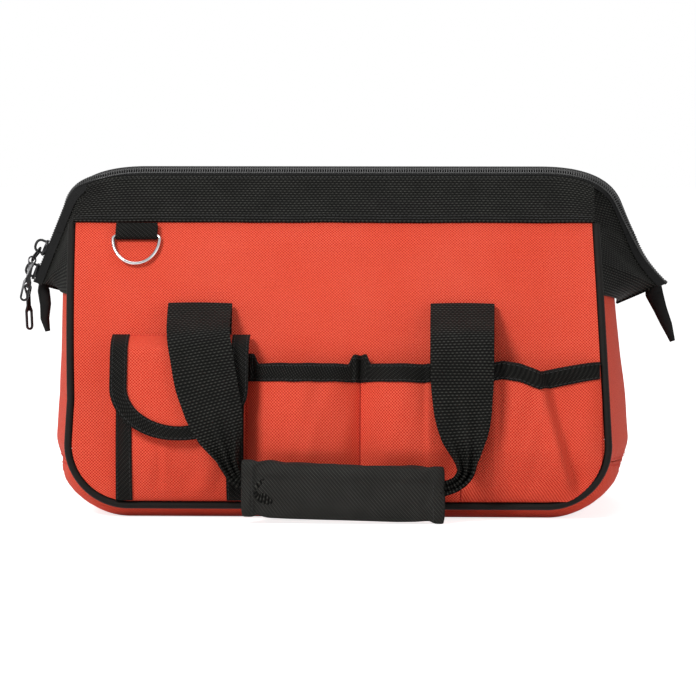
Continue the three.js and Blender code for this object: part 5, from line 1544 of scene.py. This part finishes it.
def pocket_line(pocket, u):
    """A line down a side of a pocket, just above its cloth."""
    points = []
    for z in spaced(POCKET_FOOT + 2, POCKET_TOP - 11, 30):
        x = pocket_x(pocket, z, u)
        points.append(on_wall(pocket.face, x, z, pocket.out(x, z) + POCKET_CLOTH + 0.1))
    return points


for face, name in FACE_NAME.items():
    shares = spaced(-0.985, 0.985, 150)
    lines = [[band_point(face, share, v, 0.08) for share in shares] for v in (0.07, 0.13, 0.93)]
    seam(f"{name}_band_seams", lines, BLACK_THREAD, f"{name}_mouth")
    lines = [
        [tape_point(pocket, u, drop, TAPE_OUTSIDE, 0.08) for u in spaced(0.02, 0.98, 60)]
        for pocket in ROWS[face]
        for drop in (-0.9, -BINDING_HEIGHT + 1.1)
    ]
    seam(f"{name}_pocket_tape_seams", lines, BLACK_THREAD, "bag")
    lines = [pocket_line(pocket, u) for pocket in ROWS[face] for u in (0.012, 0.988)]
    seam(f"{name}_pocket_seams", lines, RED_THREAD, "bag")

# %% Seams of the flap, the flap pocket's side tapes, base and grip
ABOVE = Vector((0, FRONT * 0.1, 0))
distances = spaced(1, FLAP_EDGE.length - 1, 140)
shares = [(inset + 0.5) / (FLAP_TAPE_WIDTH + 0.5) for inset in (1.0, FLAP_TAPE_WIDTH - 1.4)]
lines = [[flap_tape_point(u, d) + ABOVE for d in distances] for u in shares]
seam("flap_tape_seams", lines, BLACK_THREAD, "flap")
line = [flap_point(u, 0.985) + ABOVE + Vector((0, 0, 0.05)) for u in spaced(0.03, 0.97, 40)]
seam("flap_top_seam", [line], RED_THREAD, "flap")

heights = spaced(POCKET_FOOT + 2, FLAP_POCKET.top - 4, 40)
places = [(side, inset) for side in (LEFT, RIGHT) for inset in (1.4, SIDE_BINDING - 1.2)]
lines = [[side_tape_point(side, inset, z, 0.1) for z in heights] for side, inset in places]
seam("flap_pocket_tape_seams", lines, BLACK_THREAD, "bag")

distances = [SEAM_AT[side] + step for side in (LEFT, RIGHT) for step in (-1.6, 1.6)]
lines = [[on_gusset(distance, a, 0.1) for a in spaced(-0.97, 0.97, 70)] for distance in distances]
seam("base_seams", lines, RED_THREAD, "bag", 3.0)

gx, gy, gz = GRIP_CENTRE
heights = spaced(-GRIP_HEIGHT / 2 + 2.5, GRIP_HEIGHT / 2 - 2.5, 30)
near, slope = gy - GRIP_THICKNESS / 2 + 0.6, math.tan(GRIP_TILT)
ends = (-GRIP_LENGTH / 2 + 7, GRIP_LENGTH / 2 - 7)
lines = [[Vector((gx + x, near, gz + z - x * slope)) for z in heights] for x in ends]
seam("grip_seams", lines, BLACK_THREAD, "front_handle")

for shape in (TOOTH, STITCH):
    bpy.data.objects.remove(shape)
